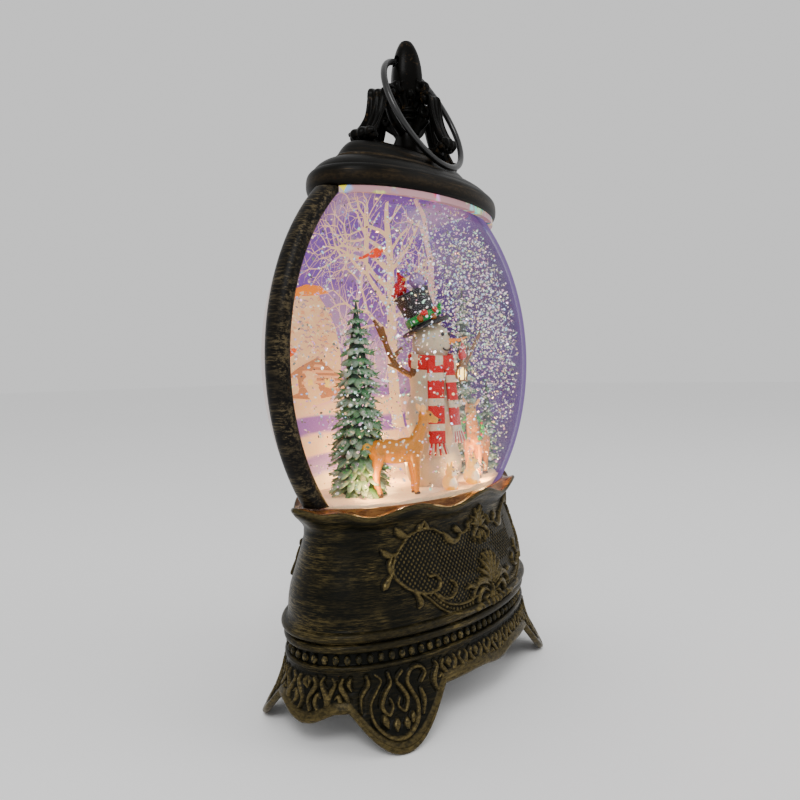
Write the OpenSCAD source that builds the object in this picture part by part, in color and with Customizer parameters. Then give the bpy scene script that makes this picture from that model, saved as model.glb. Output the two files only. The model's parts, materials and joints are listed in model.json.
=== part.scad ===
// Oval snow globe lantern: a flattened liquid-filled globe on a moulded
// bronze-look base, with a winter scene, a glitter impeller, a battery light
// and a hanging ring. Units are millimetres. X is the width, the front faces
// -Y, Z is up, and the origin is on the table under the middle of the base.

/* [Globe] */
// Radius of the globe in its broad face, outside
globe_r = 86.5; // [86:0.1:86.8]
// Half of the globe's thickness from front to back, outside
globe_half_depth = 42; // [41.5:0.1:42.3]
// Height of the globe's centre above the table
globe_z = 145.7; // [145.5:0.1:146]
// Wall of the two clear shells
globe_wall = 2.5; // [2:0.1:2.6]
// Outside radius of the band that covers the seam of the shells
band_r = 92.5; // [91:0.1:94]
// Width of that band from front to back
band_w = 10; // [8:0.5:10]

/* [Base] */
// Half width of the base at its largest moulding
base_a = 77.8; // [77:0.1:78.5]
// Half depth of the base at its largest moulding
base_b = 42.2; // [42:0.1:42.6]
// Wall of the two base shells
base_wall = 2.3; // [2:0.1:2.4]
// Height of the wavy lip round the globe's foot
lip_z = 86.8; // [86.6:0.1:87]
// Rise and fall of the wavy lip
lip_wave = 2.2; // [1.5:0.1:2.2]
// Height of the skirt's edge between the feet
skirt_z = 18; // [17:0.5:18]
// How far the feet spread beyond the largest moulding
foot_spread = 7.9; // [6:0.1:8.4]
// Height of the underside of the floor plate
floor_z = 19.5; // [19.5:0.1:20]

/* [Top] */
// Half width of the cap at its rim
cap_a = 59.8; // [59:0.1:60.5]
// Half depth of the cap at its rim
cap_b = 31.5; // [31:0.1:32]
// Height of the cap's flat crown
crown_z = 236; // [235.5:0.1:236]
// Height of the whole object to the tip of the finial
total_h = 290; // [288:0.5:292]
// Mean radius of the hanging ring
ring_r = 26.6; // [26:0.1:27]
// Thickness of the ring's wire
ring_wire = 2.8; // [2.4:0.1:2.8]
// Lean of the ring towards the front where it rests on the cap
ring_lean = 24.4; // [24:0.1:26]

/* [Works] */
// Diameter of one battery cell
cell_d = 14.5; // [14:0.1:14.5]
// Length of one battery cell
cell_len = 50.5; // [49:0.1:50.5]
// Travel of the power switch
switch_travel = 4; // [3:0.5:4]
// Radius of the disc that carries the drive magnets
rotor_r = 14; // [12:0.5:14]
// Radius of the impeller's blades
impeller_r = 14; // [10:0.5:14]

/* [Hidden] */

clear = 0.4;                       // gap between fixed parts that aren't joined
slab = 400;                        // larger than the object, for cutting
eps = 0.01;

// Heights through the base
mould_z = 42;                      // upper round moulding
mould2_z = 37.4;                   // lower round moulding
flange_z = 28.4;                   // top of the flared skirt
floor_t = 2.5;
floor_top = floor_z + floor_t;
box_h = 16.5;
deck_z = 60;
deck_t = 2.4;
deck_top = deck_z + deck_t;
stopper_z = 71;
stopper_t = 3.5;
stopper_top = stopper_z + stopper_t;
globe_cut_z = 76;                  // lower end of the globe shells
ground_z = 88.5;                   // top of the snow the figures stand on
seat_z = 88;                       // inner edge of the lip, at the globe
cap_rim_z = 213.6;
gasket_z = 211;

// Inside of the globe
globe_in_r = globe_r - globe_wall;
globe_in_half = globe_half_depth - globe_wall;

// Hanging ring: it turns in a hole through the finial's bud
pivot = [0, 2, 279.5];
ring_down = [0, -sin(ring_lean), -cos(ring_lean)];
ring_centre = pivot + ring_r * ring_down;
pivot_hole_r = 2.6;

// Floor screws, legs and pillars
leg_x = 50;
leg_y = 17.5;
leg_r = 3.5;
screw_hole_r = 1.3;
pillar_x = 44;
pillar_y = 8;

// Battery door
cell_gap = 0.5;
cell_z = floor_top + cell_d / 2 + 0.3;
door_x = 25.7;
door_y = 22.7;
door_t = 2;
door_pin_y = 23.7;
door_pin_z = floor_z + 1.25;
door_pin_r = 0.8;
door_pin_x = 27.4;

// Power switch, shown switched on
switch_x = -38;
knob_x = 3.6;
knob_y = 3;

// Drive
shaft_r = 1;
motor_r = 10;
motor_z = 43;
motor_top = 59;
magnet_at = 9.5;
magnet_r = 3.5;
rotor_z = 65;
rotor_t = 3.5;

bronze = "#3a3226";
dark_bronze = "#1c1814";
clear_plastic = [0.85, 0.9, 1, 0.3];
steel = "#b8b8bc";

// ---- Shapes that several parts share ----

// Points of an upright ellipse, for plates and rings
function oval(a, b, n = 72) = [for (i = [0 : n - 1]) [a * cos(360 * i / n), b * sin(360 * i / n)]];

module oval_plate(a, b, t) {
    linear_extrude(t) polygon(oval(a, b));
}

// Width of the globe's section at a height, as a part of its full width
function globe_part(z) = sqrt(max(0, 1 - pow((z - globe_z) / globe_r, 2)));

// Solid flattened ball about the globe's centre: radius r, half depth h
module flat_ball(r, h, steps = 28) {
    translate([0, 0, globe_z]) rotate([90, 0, 0])
        rotate_extrude($fn = 96)
            polygon([for (i = [0 : steps]) let (s = -90 + 180 * i / steps) [r * cos(s), h * sin(s)]]);
}

// Skin of such a ball between two sizes
module flat_shell(r, h, wall) {
    difference() {
        flat_ball(r, h);
        flat_ball(r - wall, h - wall);
    }
}

module between_heights(low, high) {
    intersection() {
        children();
        translate([-slab / 2, -slab / 2, low]) cube([slab, slab, high - low]);
    }
}

module front_half() {
    intersection() {
        children();
        translate([-slab / 2, -slab, -slab / 2]) cube([slab, slab, 2 * slab]);
    }
}

module rear_half() {
    intersection() {
        children();
        translate([-slab / 2, 0, -slab / 2]) cube([slab, slab, 2 * slab]);
    }
}

// ---- Base ----

// Angle away from the middle of the front or the rear, 0 to 90
function from_front(t) = abs(90 - abs(t) % 180);

function ease(x) = let (c = min(1, max(0, x))) c * c * (3 - 2 * c);

// One where a foot stands, zero between the feet
foot_start = 30;
foot_full = 43;
foot_leave = 51;
foot_end = 66;
function foot(u) = u < foot_full
    ? ease((u - foot_start) / (foot_full - foot_start))
    : ease((foot_end - u) / (foot_end - foot_leave));

function outward(t) =
    let (n = [base_b * cos(t), base_a * sin(t)]) n / norm(n);

// A point on the base: d outside the largest moulding, at angle t and height z
function base_point(t, d, z) =
    let (n = outward(t)) [base_a * cos(t) + d * n[0], base_b * sin(t) + d * n[1], z];

// The wavy lip has five crests a side and a raised tip at each end
tip_rise = 6.2;
tip_reach = 10;
tip_spread = 7;
function tip(u) = exp(-pow((90 - u) / tip_spread, 2));
function lip_height(u) =
    lip_z - pow(u / 90, 2) + (lip_wave - 1.1 * u / 90) * cos(10 * u) + tip_rise * tip(u);
function lip_out(u) = -4.6 + 0.6 * cos(10 * u) + tip_reach * tip(u);

// Inner edge of the lip, which follows the globe
function seat_out(t) = -9.7 - 2.4 * pow(cos(t), 2);

function skirt_edge(u) =
    (skirt_z - 2 * exp(-pow(u / 7, 2)) - 5 * pow(u / 90, 3)) * (1 - foot(u));
function skirt_out(u) = 1.3 + 1.4 * pow(u / 90, 2) + (foot_spread - 1.5) * foot(u);

// Skirt section: f runs from 0 at the flange to 1 at the edge
function skirt_point(u, f, inward) =
    [-1.6 + (skirt_out(u) + 1.6) * pow(f, 1.7) - inward,
     flange_z + (skirt_edge(u) - flange_z) * f];

// Closed section of the shell at angle t, as [distance out, height] pairs
function base_section(t) =
    let (u = from_front(t), lh = lip_height(u), lo = lip_out(u), seat = seat_out(t), w = base_wall)
    [
        [seat, seat_z],
        [lo - 3, (seat_z + lh + 1.5) / 2],
        [lo - 0.9, lh + 1.5],
        [lo, lh + 0.5],
        [lo - 0.7, lh - 0.8],
        [-8.3, 82.6],
        [-9.8, 79],
        [-9.6, 75.5],
        [-7.9, 69],
        [-5.4, 61],
        [-3.5, 54.5],
        [-2.9, 48],
        [-2.8, mould_z + 2.2],
        [-0.7, mould_z + 1.4],
        [0, mould_z],
        [-0.7, mould_z - 1.4],
        [-2.1, mould_z - 2.6],
        [-1.1, mould2_z],
        [-1.9, mould2_z - 2],
        [-2.6, mould2_z - 2.6],
        [-2.6, flange_z + 2.8],
        [-1.5, flange_z + 2],
        skirt_point(u, 0, 0),
        skirt_point(u, 0.35, 0),
        skirt_point(u, 0.7, 0),
        skirt_point(u, 1, 0),
        skirt_point(u, 1, w),
        skirt_point(u, 0.6, w),
        [-1.8 - w, flange_z],
        [-1.9 - w, 36],
        [-2.9 - w, 46],
        [-5.4 - w, 61],
        [-7.9 - w, 69],
        [-9.7 - w, 76],
        [-9.7 - w, 82.4],
        [seat, seat_z - 2]
    ];

// Half of the base's skin, from angle from_t to from_t + 180
half_steps = 40;
module base_half(from_t) {
    rings = [for (j = [0 : half_steps]) base_section(from_t + 180 * j / half_steps)];
    m = len(rings[0]);
    points = [for (j = [0 : half_steps]) for (i = [0 : m - 1])
        base_point(from_t + 180 * j / half_steps, rings[j][i][0], rings[j][i][1])];
    sides = [for (j = [0 : half_steps - 1]) for (i = [0 : m - 1])
        let (k = (i + 1) % m) each [
            [j * m + i, j * m + k, (j + 1) * m + k],
            [j * m + i, (j + 1) * m + k, (j + 1) * m + i]
        ]];
    first_end = [for (i = [m - 1 : -1 : 0]) i];
    last_end = [for (i = [0 : m - 1]) half_steps * m + i];
    polyhedron(points, concat(sides, [first_end, last_end]), convexity = 8);
}

module base_front_shell() {
    color(bronze) base_half(-180);
}

module base_rear_shell() {
    color(bronze) base_half(0);
}

module at_corners(x, y) {
    for (sx = [-1, 1]) for (sy = [-1, 1]) translate([sx * x, sy * y, 0]) children();
}

module base_floor() {
    floor_a = base_a - 4.4;
    floor_b = base_b - 4.4;
    opening_x = door_x + 0.3;
    color("#2a2a2a") difference() {
        translate([0, 0, floor_z]) oval_plate(floor_a, floor_b, floor_t);
        at_corners(leg_x, leg_y) translate([0, 0, floor_z - 1])
            cylinder(h = floor_t + 2, r = 1.7, $fn = 24);
        translate([-opening_x, -door_y - 0.3, floor_z - 1])
            cube([2 * opening_x, door_y + 0.3 + door_pin_y + 1.1, floor_t + 2]);
        translate([-door_pin_x - 0.3, door_pin_y, door_pin_z]) rotate([0, 90, 0])
            cylinder(h = 2 * door_pin_x + 0.6, r = door_pin_r + 0.05, $fn = 24);
        translate([switch_x - switch_travel - knob_x / 2 - clear, -knob_y / 2 - clear, floor_z - 1])
            cube([switch_travel + knob_x + 2 * clear, knob_y + 2 * clear, floor_t + 2]);
    }
}

module floor_screws() {
    color(steel) at_corners(leg_x, leg_y) {
        translate([0, 0, floor_z - 1.6]) cylinder(h = 1.6, r = 3, $fn = 32);
        translate([0, 0, floor_z]) cylinder(h = 12, r = 1.25, $fn = 24);
    }
}

// Deck that carries the motor and the light, on four legs, with four pillars
// that hold the globe's stopper
module inner_deck() {
    color("#3a3a3a") difference() {
        union() {
            translate([0, 0, deck_z]) oval_plate(base_a - 9, base_b - 9, deck_t);
            at_corners(leg_x, leg_y) translate([0, 0, floor_top])
                cylinder(h = deck_z - floor_top, r = leg_r, $fn = 32);
            at_corners(pillar_x, pillar_y) translate([0, 0, deck_top])
                cylinder(h = stopper_z - deck_top, r = 3, $fn = 32);
        }
        at_corners(leg_x, leg_y) translate([0, 0, floor_top - eps])
            cylinder(h = 13, r = screw_hole_r, $fn = 24);
        translate([0, 0, deck_z - 1]) cylinder(h = deck_t + 2, r = 6, $fn = 40);
        for (side = [-1, 1]) translate([side * 12.5, 0, deck_z - 1])
            cylinder(h = deck_t + 2, r = 0.95, $fn = 24);
    }
}

// ---- Battery, switch and light ----

module battery_box() {
    box_x = 29;
    box_y = 25;
    color("#222222") difference() {
        translate([-box_x, -box_y, floor_top]) cube([2 * box_x, 2 * box_y, box_h]);
        translate([2 - box_x, 2 - box_y, floor_top - 1]) cube([2 * box_x - 4, 2 * box_y - 4, box_h - 0.5]);
    }
}

module at_cells() {
    for (i = [-1 : 1]) translate([0, i * (cell_d + cell_gap), cell_z]) children();
}

module battery_cells() {
    color("#caa24a") at_cells() {
        translate([-cell_len / 2, 0, 0]) rotate([0, 90, 0])
            cylinder(h = cell_len - 1, r = cell_d / 2, $fn = 40);
        translate([cell_len / 2 - 1, 0, 0]) rotate([0, 90, 0]) cylinder(h = 1, r = 2.7, $fn = 24);
    }
}

module battery_contacts() {
    plate_x = 26.3;
    color(steel) for (side = [-1, 1]) {
        translate([side * (plate_x + 0.25) - 0.25, -22, floor_top + 1]) cube([0.5, 44, 13]);
        at_cells() translate([side * (cell_len / 2 + plate_x) / 2, 0, 0]) rotate([0, 90, 0])
            cylinder(h = plate_x - cell_len / 2, r = 2.5, center = true, $fn = 24);
    }
}

module battery_door() {
    color("#2a2a2a") {
        translate([-door_x, -door_y, floor_z]) cube([2 * door_x, 2 * door_y, door_t]);
        translate([-door_x, door_y - eps, door_pin_z - 0.7]) cube([2 * door_x, door_pin_y - door_y, 1.4]);
        translate([-door_pin_x, door_pin_y, door_pin_z]) rotate([0, 90, 0])
            cylinder(h = 2 * door_pin_x, r = door_pin_r, $fn = 24);
        translate([-6, 2 - door_y, floor_z - 0.8]) cube([12, 2, 0.8 + eps]);
    }
}

module switch_body() {
    slot_x = switch_travel + knob_x + 2 * clear;
    color("#303030") difference() {
        translate([switch_x - switch_travel / 2 - 6.5, -3.75, floor_top]) cube([13, 7.5, 6.5]);
        translate([switch_x - switch_travel - knob_x / 2 - clear, -knob_y / 2 - clear, floor_top - 1])
            cube([slot_x, knob_y + 2 * clear, 3.2]);
    }
}

module switch_knob() {
    color("#101010") translate([switch_x - knob_x / 2, -knob_y / 2, floor_z - 1.8])
        cube([knob_x, knob_y, 5.8]);
}

module light_board() {
    color("#1d5a34") difference() {
        translate([-36, -18, deck_top]) cube([72, 36, 1.6]);
        translate([0, 0, deck_top - 1]) cylinder(h = 4, r = 17, $fn = 64);
    }
}

module leds() {
    led_r = 2.5;
    color("#fff2c0") at_corners(28, 9) translate([0, 0, deck_top + 1.6]) {
        cylinder(h = 3, r = led_r, $fn = 32);
        translate([0, 0, 3]) sphere(r = led_r, $fn = 32);
    }
}

// ---- Drive ----

module drive_motor() {
    color(steel) difference() {
        union() {
            translate([0, 0, motor_z]) cylinder(h = motor_top - motor_z, r = motor_r, $fn = 48);
            translate([0, 0, motor_top]) cylinder(h = 2, r = 3, $fn = 32);
        }
        translate([0, 0, 52]) cylinder(h = 20, r = shaft_r + 0.05, $fn = 24);
    }
}

module motor_bracket() {
    color("#6a6a6a") difference() {
        translate([-16, -11, motor_top]) cube([32, 22, 1]);
        translate([0, 0, motor_top - 1]) cylinder(h = 3, r = 3.2, $fn = 32);
        for (side = [-1, 1]) translate([side * 12.5, 0, motor_top - 1]) cylinder(h = 3, r = 1.1, $fn = 24);
    }
}

module motor_screws() {
    color(steel) for (side = [-1, 1]) translate([side * 12.5, 0, 0]) {
        translate([0, 0, motor_top - 1.2]) cylinder(h = 1.2, r = 2, $fn = 32);
        translate([0, 0, motor_top]) cylinder(h = 3, r = 0.9, $fn = 24);
    }
}

module drive_shaft() {
    color(steel) translate([0, 0, 52.5]) cylinder(h = 15, r = shaft_r, $fn = 24);
}

module drive_rotor() {
    color("#e8e8e8") difference() {
        union() {
            translate([0, 0, rotor_z]) cylinder(h = rotor_t, r = rotor_r, $fn = 64);
            translate([0, 0, rotor_z - 1.5]) cylinder(h = 1.5 + eps, r = 3, $fn = 32);
        }
        translate([0, 0, rotor_z - 2]) cylinder(h = 4.5, r = shaft_r, $fn = 24);
        for (side = [-1, 1]) translate([side * magnet_at, 0, rotor_z + 1.5])
            cylinder(h = 4, r = magnet_r, $fn = 40);
    }
}

module drive_magnets() {
    color("#8a8a90") for (side = [-1, 1]) translate([side * magnet_at, 0, rotor_z + 1.5])
        cylinder(h = 2, r = magnet_r, $fn = 40);
}

// ---- Globe ----

module globe_front_shell() {
    color(clear_plastic) front_half() between_heights(globe_cut_z, slab)
        flat_shell(globe_r, globe_half_depth, globe_wall);
}

module globe_back_shell() {
    color(clear_plastic) rear_half() between_heights(globe_cut_z, slab)
        flat_shell(globe_r, globe_half_depth, globe_wall);
}

// Rounded band section, turned about the globe's axis, cut to one side
module rim_band() {
    half = band_w / 2;
    between_heights(90, cap_rim_z)
        translate([0, 0, globe_z]) rotate([90, 0, 0]) rotate_extrude($fn = 120)
            polygon([
                [globe_r + 0.1, -half + 1],
                [globe_r + 1.1, -half],
                [band_r - 3, -half],
                [band_r - 1, -half * 0.62],
                [band_r, 0],
                [band_r - 1, half * 0.62],
                [band_r - 3, half],
                [globe_r + 1.1, half],
                [globe_r + 0.1, half - 1]
            ]);
}

module left_rim_band() {
    color(dark_bronze) intersection() {
        rim_band();
        translate([-slab, -slab / 2, 0]) cube([slab, slab, slab]);
    }
}

module right_rim_band() {
    color(dark_bronze) intersection() {
        rim_band();
        translate([0, -slab / 2, 0]) cube([slab, slab, slab]);
    }
}

stopper_a = 54;
stopper_b = 27.5;
gasket_h = globe_cut_z - stopper_top;
plug_x = -34;

module globe_stopper() {
    color(clear_plastic) difference() {
        translate([0, 0, stopper_z]) oval_plate(stopper_a, stopper_b, stopper_t);
        translate([plug_x, 0, stopper_z - 1]) cylinder(h = stopper_t + 2, r = 4, $fn = 40);
        translate([0, 0, stopper_z + 1.5]) cylinder(h = stopper_t, r = 1, $fn = 24);
    }
}

module stopper_gasket() {
    color("#d8d8d8") difference() {
        translate([0, 0, stopper_top]) oval_plate(stopper_a - 1, stopper_b - 1, gasket_h);
        translate([0, 0, stopper_top - 1]) oval_plate(46, 20.5, gasket_h + 2);
    }
}

module fill_plug() {
    color("#b0b0b0") {
        translate([plug_x, 0, stopper_z - 1.2]) cylinder(h = 1.2, r = 5.5, $fn = 40);
        translate([plug_x, 0, stopper_z - eps]) cylinder(h = stopper_t, r = 4, $fn = 40);
    }
}

impeller_z = 78;
module impeller() {
    blades = 5;
    color("#f4f4f4") difference() {
        union() {
            translate([0, 0, impeller_z]) cylinder(h = 6, r = 3.5, $fn = 32);
            translate([0, 0, impeller_z]) cylinder(h = 0.8, r = 9, $fn = 48);
            for (i = [0 : blades - 1]) rotate([0, 0, 360 / blades * i])
                translate([2, -0.5, impeller_z]) cube([impeller_r - 2, 1, 5]);
        }
        translate([0, 0, impeller_z - 1]) cylinder(h = 6, r = 1.05, $fn = 24);
    }
}

module impeller_magnet() {
    color("#8a8a90") difference() {
        translate([0, 0, impeller_z - 2.4]) cylinder(h = 2.4, r = 8, $fn = 48);
        translate([0, 0, impeller_z - 3]) cylinder(h = 4, r = 1.05, $fn = 24);
    }
}

module impeller_pin() {
    color(steel) translate([0, 0, stopper_z + 1.5]) cylinder(h = 10, r = 1, $fn = 24);
}

// ---- Scene inside the globe ----

module snow_ground() {
    cavity_r = impeller_r + 3;
    color("#fbf3e4") {
        difference() {
            between_heights(77, ground_z) flat_ball(globe_in_r - clear, globe_in_half - clear);
            translate([0, 0, 76]) cylinder(h = 10, r = cavity_r, $fn = 64);
            for (a = [25, 155, 205, 335]) rotate([0, 0, a]) translate([cavity_r - 3, 0, 80])
                cylinder(h = 12, r = 1.5, $fn = 24);
        }
        at_corners(30, 8) translate([0, 0, stopper_top])
            cylinder(h = 77 - stopper_top + eps, r = 2, $fn = 24);
    }
}

film_t = 0.6;
module scenic_film() {
    color("#9d8fd0") intersection() {
        between_heights(ground_z, slab) flat_shell(globe_in_r - clear, globe_in_half - clear, film_t);
        translate([-slab / 2, 2, 0]) cube([slab, slab, slab]);
    }
}

module liquid_fill() {
    inset = clear + film_t + 0.3;
    color([0.9, 0.95, 1, 0.15]) between_heights(ground_z + clear, slab)
        flat_ball(globe_in_r - inset, globe_in_half - inset);
}

// Straight round bar between two points
module bar(from, to, r1, r2) {
    v = to - from;
    tilt = acos(v[2] / norm(v));
    turn = atan2(v[1], v[0]);
    translate(from) rotate([0, tilt, turn]) cylinder(h = norm(v), r1 = r1, r2 = r2, $fn = 24);
}

snowman_at = [3, -9, ground_z];
snowman_r = 12.6;
snowman_head_z = 66.5;
snowman_head_r = 9;
module snowman() {
    color("#f2ece4") translate(snowman_at) difference() {
        union() {
            translate([0, 0, 12]) sphere(r = snowman_r + 0.6, $fn = 48);
            translate([0, 0, 34]) sphere(r = snowman_r, $fn = 48);
            translate([0, 0, 12]) cylinder(h = 22, r = snowman_r - 1.2, $fn = 48);
            translate([0, 0, 52]) sphere(r = snowman_r - 1.6, $fn = 48);
            translate([0, 0, snowman_head_z]) sphere(r = snowman_head_r, $fn = 48);
            bar([0, 0, snowman_head_z], [9, -8, snowman_head_z - 1], 1.6, 0.5);
            bar([-9, 0, 48], [-19, -1, 60], 1.4, 0.9);
            bar([9, 0, 48], [18, -3, 58], 1.4, 0.9);
        }
        translate([-20, -20, -10]) cube([40, 40, 10]);
    }
}

module snowman_hat() {
    color("#161616") difference() {
        translate(snowman_at + [0, 0, snowman_head_z + 5]) rotate([0, -8, 0]) union() {
            cylinder(h = 1.6, r = 11, $fn = 48);
            cylinder(h = 14, r1 = 7.2, r2 = 8.2, $fn = 48);
        }
        translate(snowman_at + [0, 0, snowman_head_z]) sphere(r = snowman_head_r + 0.05, $fn = 48);
    }
}

module snowman_lantern() {
    color("#ffcf70") translate(snowman_at + [19.5, -4, 40]) {
        cylinder(h = 9, r = 3.2, $fn = 24);
        translate([0, 0, 9]) cylinder(h = 3, r1 = 3.4, r2 = 0.8, $fn = 24);
    }
}

// Standing deer that faces +X: its feet are at z = 0
module deer(size) {
    scale(size) {
        translate([-9, 0, 17.6]) rotate([0, 90, 0]) cylinder(h = 18, r1 = 5.4, r2 = 4.7, $fn = 32);
        bar([6.5, 0, 18.5], [12, 0, 32], 3.4, 2.3);
        translate([12.8, 0, 33]) sphere(r = 3.4, $fn = 32);
        translate([12.8, 0, 32.6]) rotate([0, 90, 0]) cylinder(h = 6.4, r1 = 2.3, r2 = 1.4, $fn = 24);
        for (x = [-7, 6.6]) for (y = [-2.4, 2.4])
            translate([x, y, 0]) cylinder(h = 16, r1 = 1.3, r2 = 1.9, $fn = 24);
    }
}

module left_deer() {
    color("#c98a52") translate([-20, -12, ground_z]) rotate([0, 0, -38]) deer(0.95);
}

module right_deer() {
    color("#c98a52") translate([33, -11, ground_z]) rotate([0, 0, 190]) deer(0.95);
}

module small_animals() {
    color("#b9794a") {
        translate([-6, -23.5, ground_z]) {
            translate([0, 0, 3.4]) sphere(r = 3.4, $fn = 32);
            translate([0.8, -0.6, 8.2]) sphere(r = 2.6, $fn = 32);
        }
        translate([14, -24, ground_z]) {
            translate([0, 0, 3]) sphere(r = 3, $fn = 32);
            translate([-0.6, -0.6, 7.2]) sphere(r = 2.3, $fn = 32);
        }
    }
}

// Conifer of overlapping cones on a short trunk
module conifer(h, r) {
    trunk = 0.09 * h;
    crown = h - trunk;
    cylinder(h = trunk + 1, r = 0.2 * r, $fn = 24);
    for (part = [0 : 0.2 : 0.8])
        translate([0, 0, trunk + crown * part * 0.86])
            cylinder(h = crown * 0.312, r1 = r * (1 - 0.82 * part), r2 = r * (0.42 - 0.4 * part), $fn = 32);
}

module large_tree() {
    color("#2f5b42") translate([-40, 2, ground_z]) conifer(80, 13);
}

module middle_tree() {
    color("#2f5b42") translate([42, 9, ground_z]) conifer(72, 9);
}

module small_tree() {
    color("#2f5b42") translate([52, -2, ground_z]) conifer(46, 6.5);
}

// ---- Top ----

// Translucent strip under the cap, open at each side for the band
module cap_gasket() {
    strip_h = cap_rim_z - gasket_z;
    inside = globe_part(gasket_z);
    color("#d9c9cf") difference() {
        translate([0, 0, gasket_z]) oval_plate(58.6, 30.4, strip_h);
        translate([0, 0, gasket_z - 1])
            oval_plate(globe_r * inside + 0.2, globe_half_depth * inside + 0.2, strip_h + 2);
        translate([-slab / 2, -band_w / 2 - 0.3, gasket_z - 1]) cube([slab, band_w + 0.6, strip_h + 2]);
    }
}

// One level of the cap: an ellipse inset by d from the rim
function cap_ring(d, z, n) =
    [for (i = [0 : n - 1]) [(cap_a - d) * cos(360 * i / n), (cap_b - d) * sin(360 * i / n), z]];

// The cap's section from the inside of its crown, down, round the rim and up
cap_section = [
    [24, crown_z - 2.4],
    [14.5, 229],
    [9.5, 225.6],
    [4.5, 221.5],
    [2.6, 218],
    [2.4, cap_rim_z],
    [0.6, cap_rim_z + 0.2],
    [-0.5, cap_rim_z + 2.6],
    [-0.4, cap_rim_z + 5.6],
    [1.2, cap_rim_z + 8.4],
    [3.4, 224.4],
    [6.6, 226.6],
    [10.6, 228.4],
    [13, 230],
    [15.4, 233],
    [18, 235.4],
    [21, crown_z]
];

module cap_body() {
    n = 72;
    m = len(cap_section);
    points = [for (s = cap_section) each cap_ring(s[0], s[1], n)];
    sides = [for (k = [0 : m - 2]) for (i = [0 : n - 1])
        let (j = (i + 1) % n) each [
            [k * n + i, k * n + j, (k + 1) * n + j],
            [k * n + i, (k + 1) * n + j, (k + 1) * n + i]
        ]];
    under = [for (i = [n - 1 : -1 : 0]) i];
    upper = [for (i = [0 : n - 1]) (m - 1) * n + i];
    polyhedron(points, concat(sides, [under, upper]), convexity = 6);
}

spigot_r = 4;
module top_cap() {
    color(dark_bronze) difference() {
        cap_body();
        translate([0, 0, crown_z - 5]) cylinder(h = 8, r = spigot_r, $fn = 40);
    }
}

// Leaf bracket of the finial, in the +X direction
module finial_leaf(reach, width) {
    translate([0, width / 2, 0]) rotate([90, 0, 0]) linear_extrude(width)
        polygon([
            [2, crown_z + 0.2],
            [reach - 3, crown_z + 0.2],
            [reach - 1, crown_z + 4],
            [reach * 0.78, crown_z + 12],
            [reach * 0.56, crown_z + 24],
            [reach * 0.38, crown_z + 25],
            [reach * 0.4, crown_z + 14],
            [2, crown_z + 10]
        ]);
    translate([reach - 3.2, 0, crown_z + 3.4]) rotate([90, 0, 0])
        cylinder(h = width + 3, r = 3.2, center = true, $fn = 32);
    translate([reach * 0.52, 0, crown_z + 25]) rotate([90, 0, 0])
        cylinder(h = width + 2, r = 2.4, center = true, $fn = 32);
}

module finial() {
    color(dark_bronze) difference() {
        union() {
            rotate_extrude($fn = 64) polygon([
                [0, crown_z - 2.3],
                [spigot_r, crown_z - 2.3],
                [spigot_r, crown_z],
                [12, crown_z],
                [12, crown_z + 2],
                [7, crown_z + 6],
                [4.6, crown_z + 12],
                [4.6, crown_z + 16.5],
                [5.8, crown_z + 18],
                [4.8, crown_z + 19.4],
                [6, crown_z + 21],
                [4.9, crown_z + 22.6],
                [5.6, crown_z + 24.4],
                [6.6, crown_z + 30],
                [7.3, crown_z + 35],
                [7.1, crown_z + 39],
                [6.6, crown_z + 44],
                [5.4, total_h - 6],
                [4, total_h - 3],
                [2, total_h - 0.8],
                [0, total_h]
            ]);
            for (a = [0, 180]) rotate([0, 0, a]) finial_leaf(36, 8);
            for (a = [90, 270]) rotate([0, 0, a]) finial_leaf(20, 7);
            for (a = [0, 180]) rotate([0, 0, a]) translate([9.6, 0, crown_z + 31]) sphere(r = 4, $fn = 32);
        }
        translate([0, pivot[1], pivot[2]]) rotate([0, 90, 0])
            cylinder(h = 40, r = pivot_hole_r, center = true, $fn = 40);
    }
}

module ring_handle() {
    color("#0c0c0c") translate(ring_centre) rotate([90 - ring_lean, 0, 0])
        rotate_extrude($fn = 96) translate([ring_r, 0]) circle(r = ring_wire / 2, $fn = 32);
}

base_front_shell();
base_rear_shell();
base_floor();
floor_screws();
inner_deck();
battery_box();
battery_cells();
battery_contacts();
battery_door();
switch_body();
switch_knob();
light_board();
leds();
drive_motor();
motor_bracket();
motor_screws();
drive_shaft();
drive_rotor();
drive_magnets();
globe_front_shell();
globe_back_shell();
left_rim_band();
right_rim_band();
globe_stopper();
stopper_gasket();
fill_plug();
impeller();
impeller_magnet();
impeller_pin();
snow_ground();
scenic_film();
liquid_fill();
snowman();
snowman_hat();
snowman_lantern();
left_deer();
right_deer();
small_animals();
large_tree();
middle_tree();
small_tree();
cap_gasket();
top_cap();
finial();
ring_handle();
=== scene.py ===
"""Looks of the oval snow globe lantern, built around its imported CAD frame.

Lengths are in millimetres until make_piece turns them into metres. X is the
width, the front faces -Y and Z is up, as in the CAD frame.
"""

import json
import math
import random

import bpy
import numpy as np
from mathutils import Matrix, Quaternion, Vector
from mathutils.kdtree import KDTree

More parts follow.
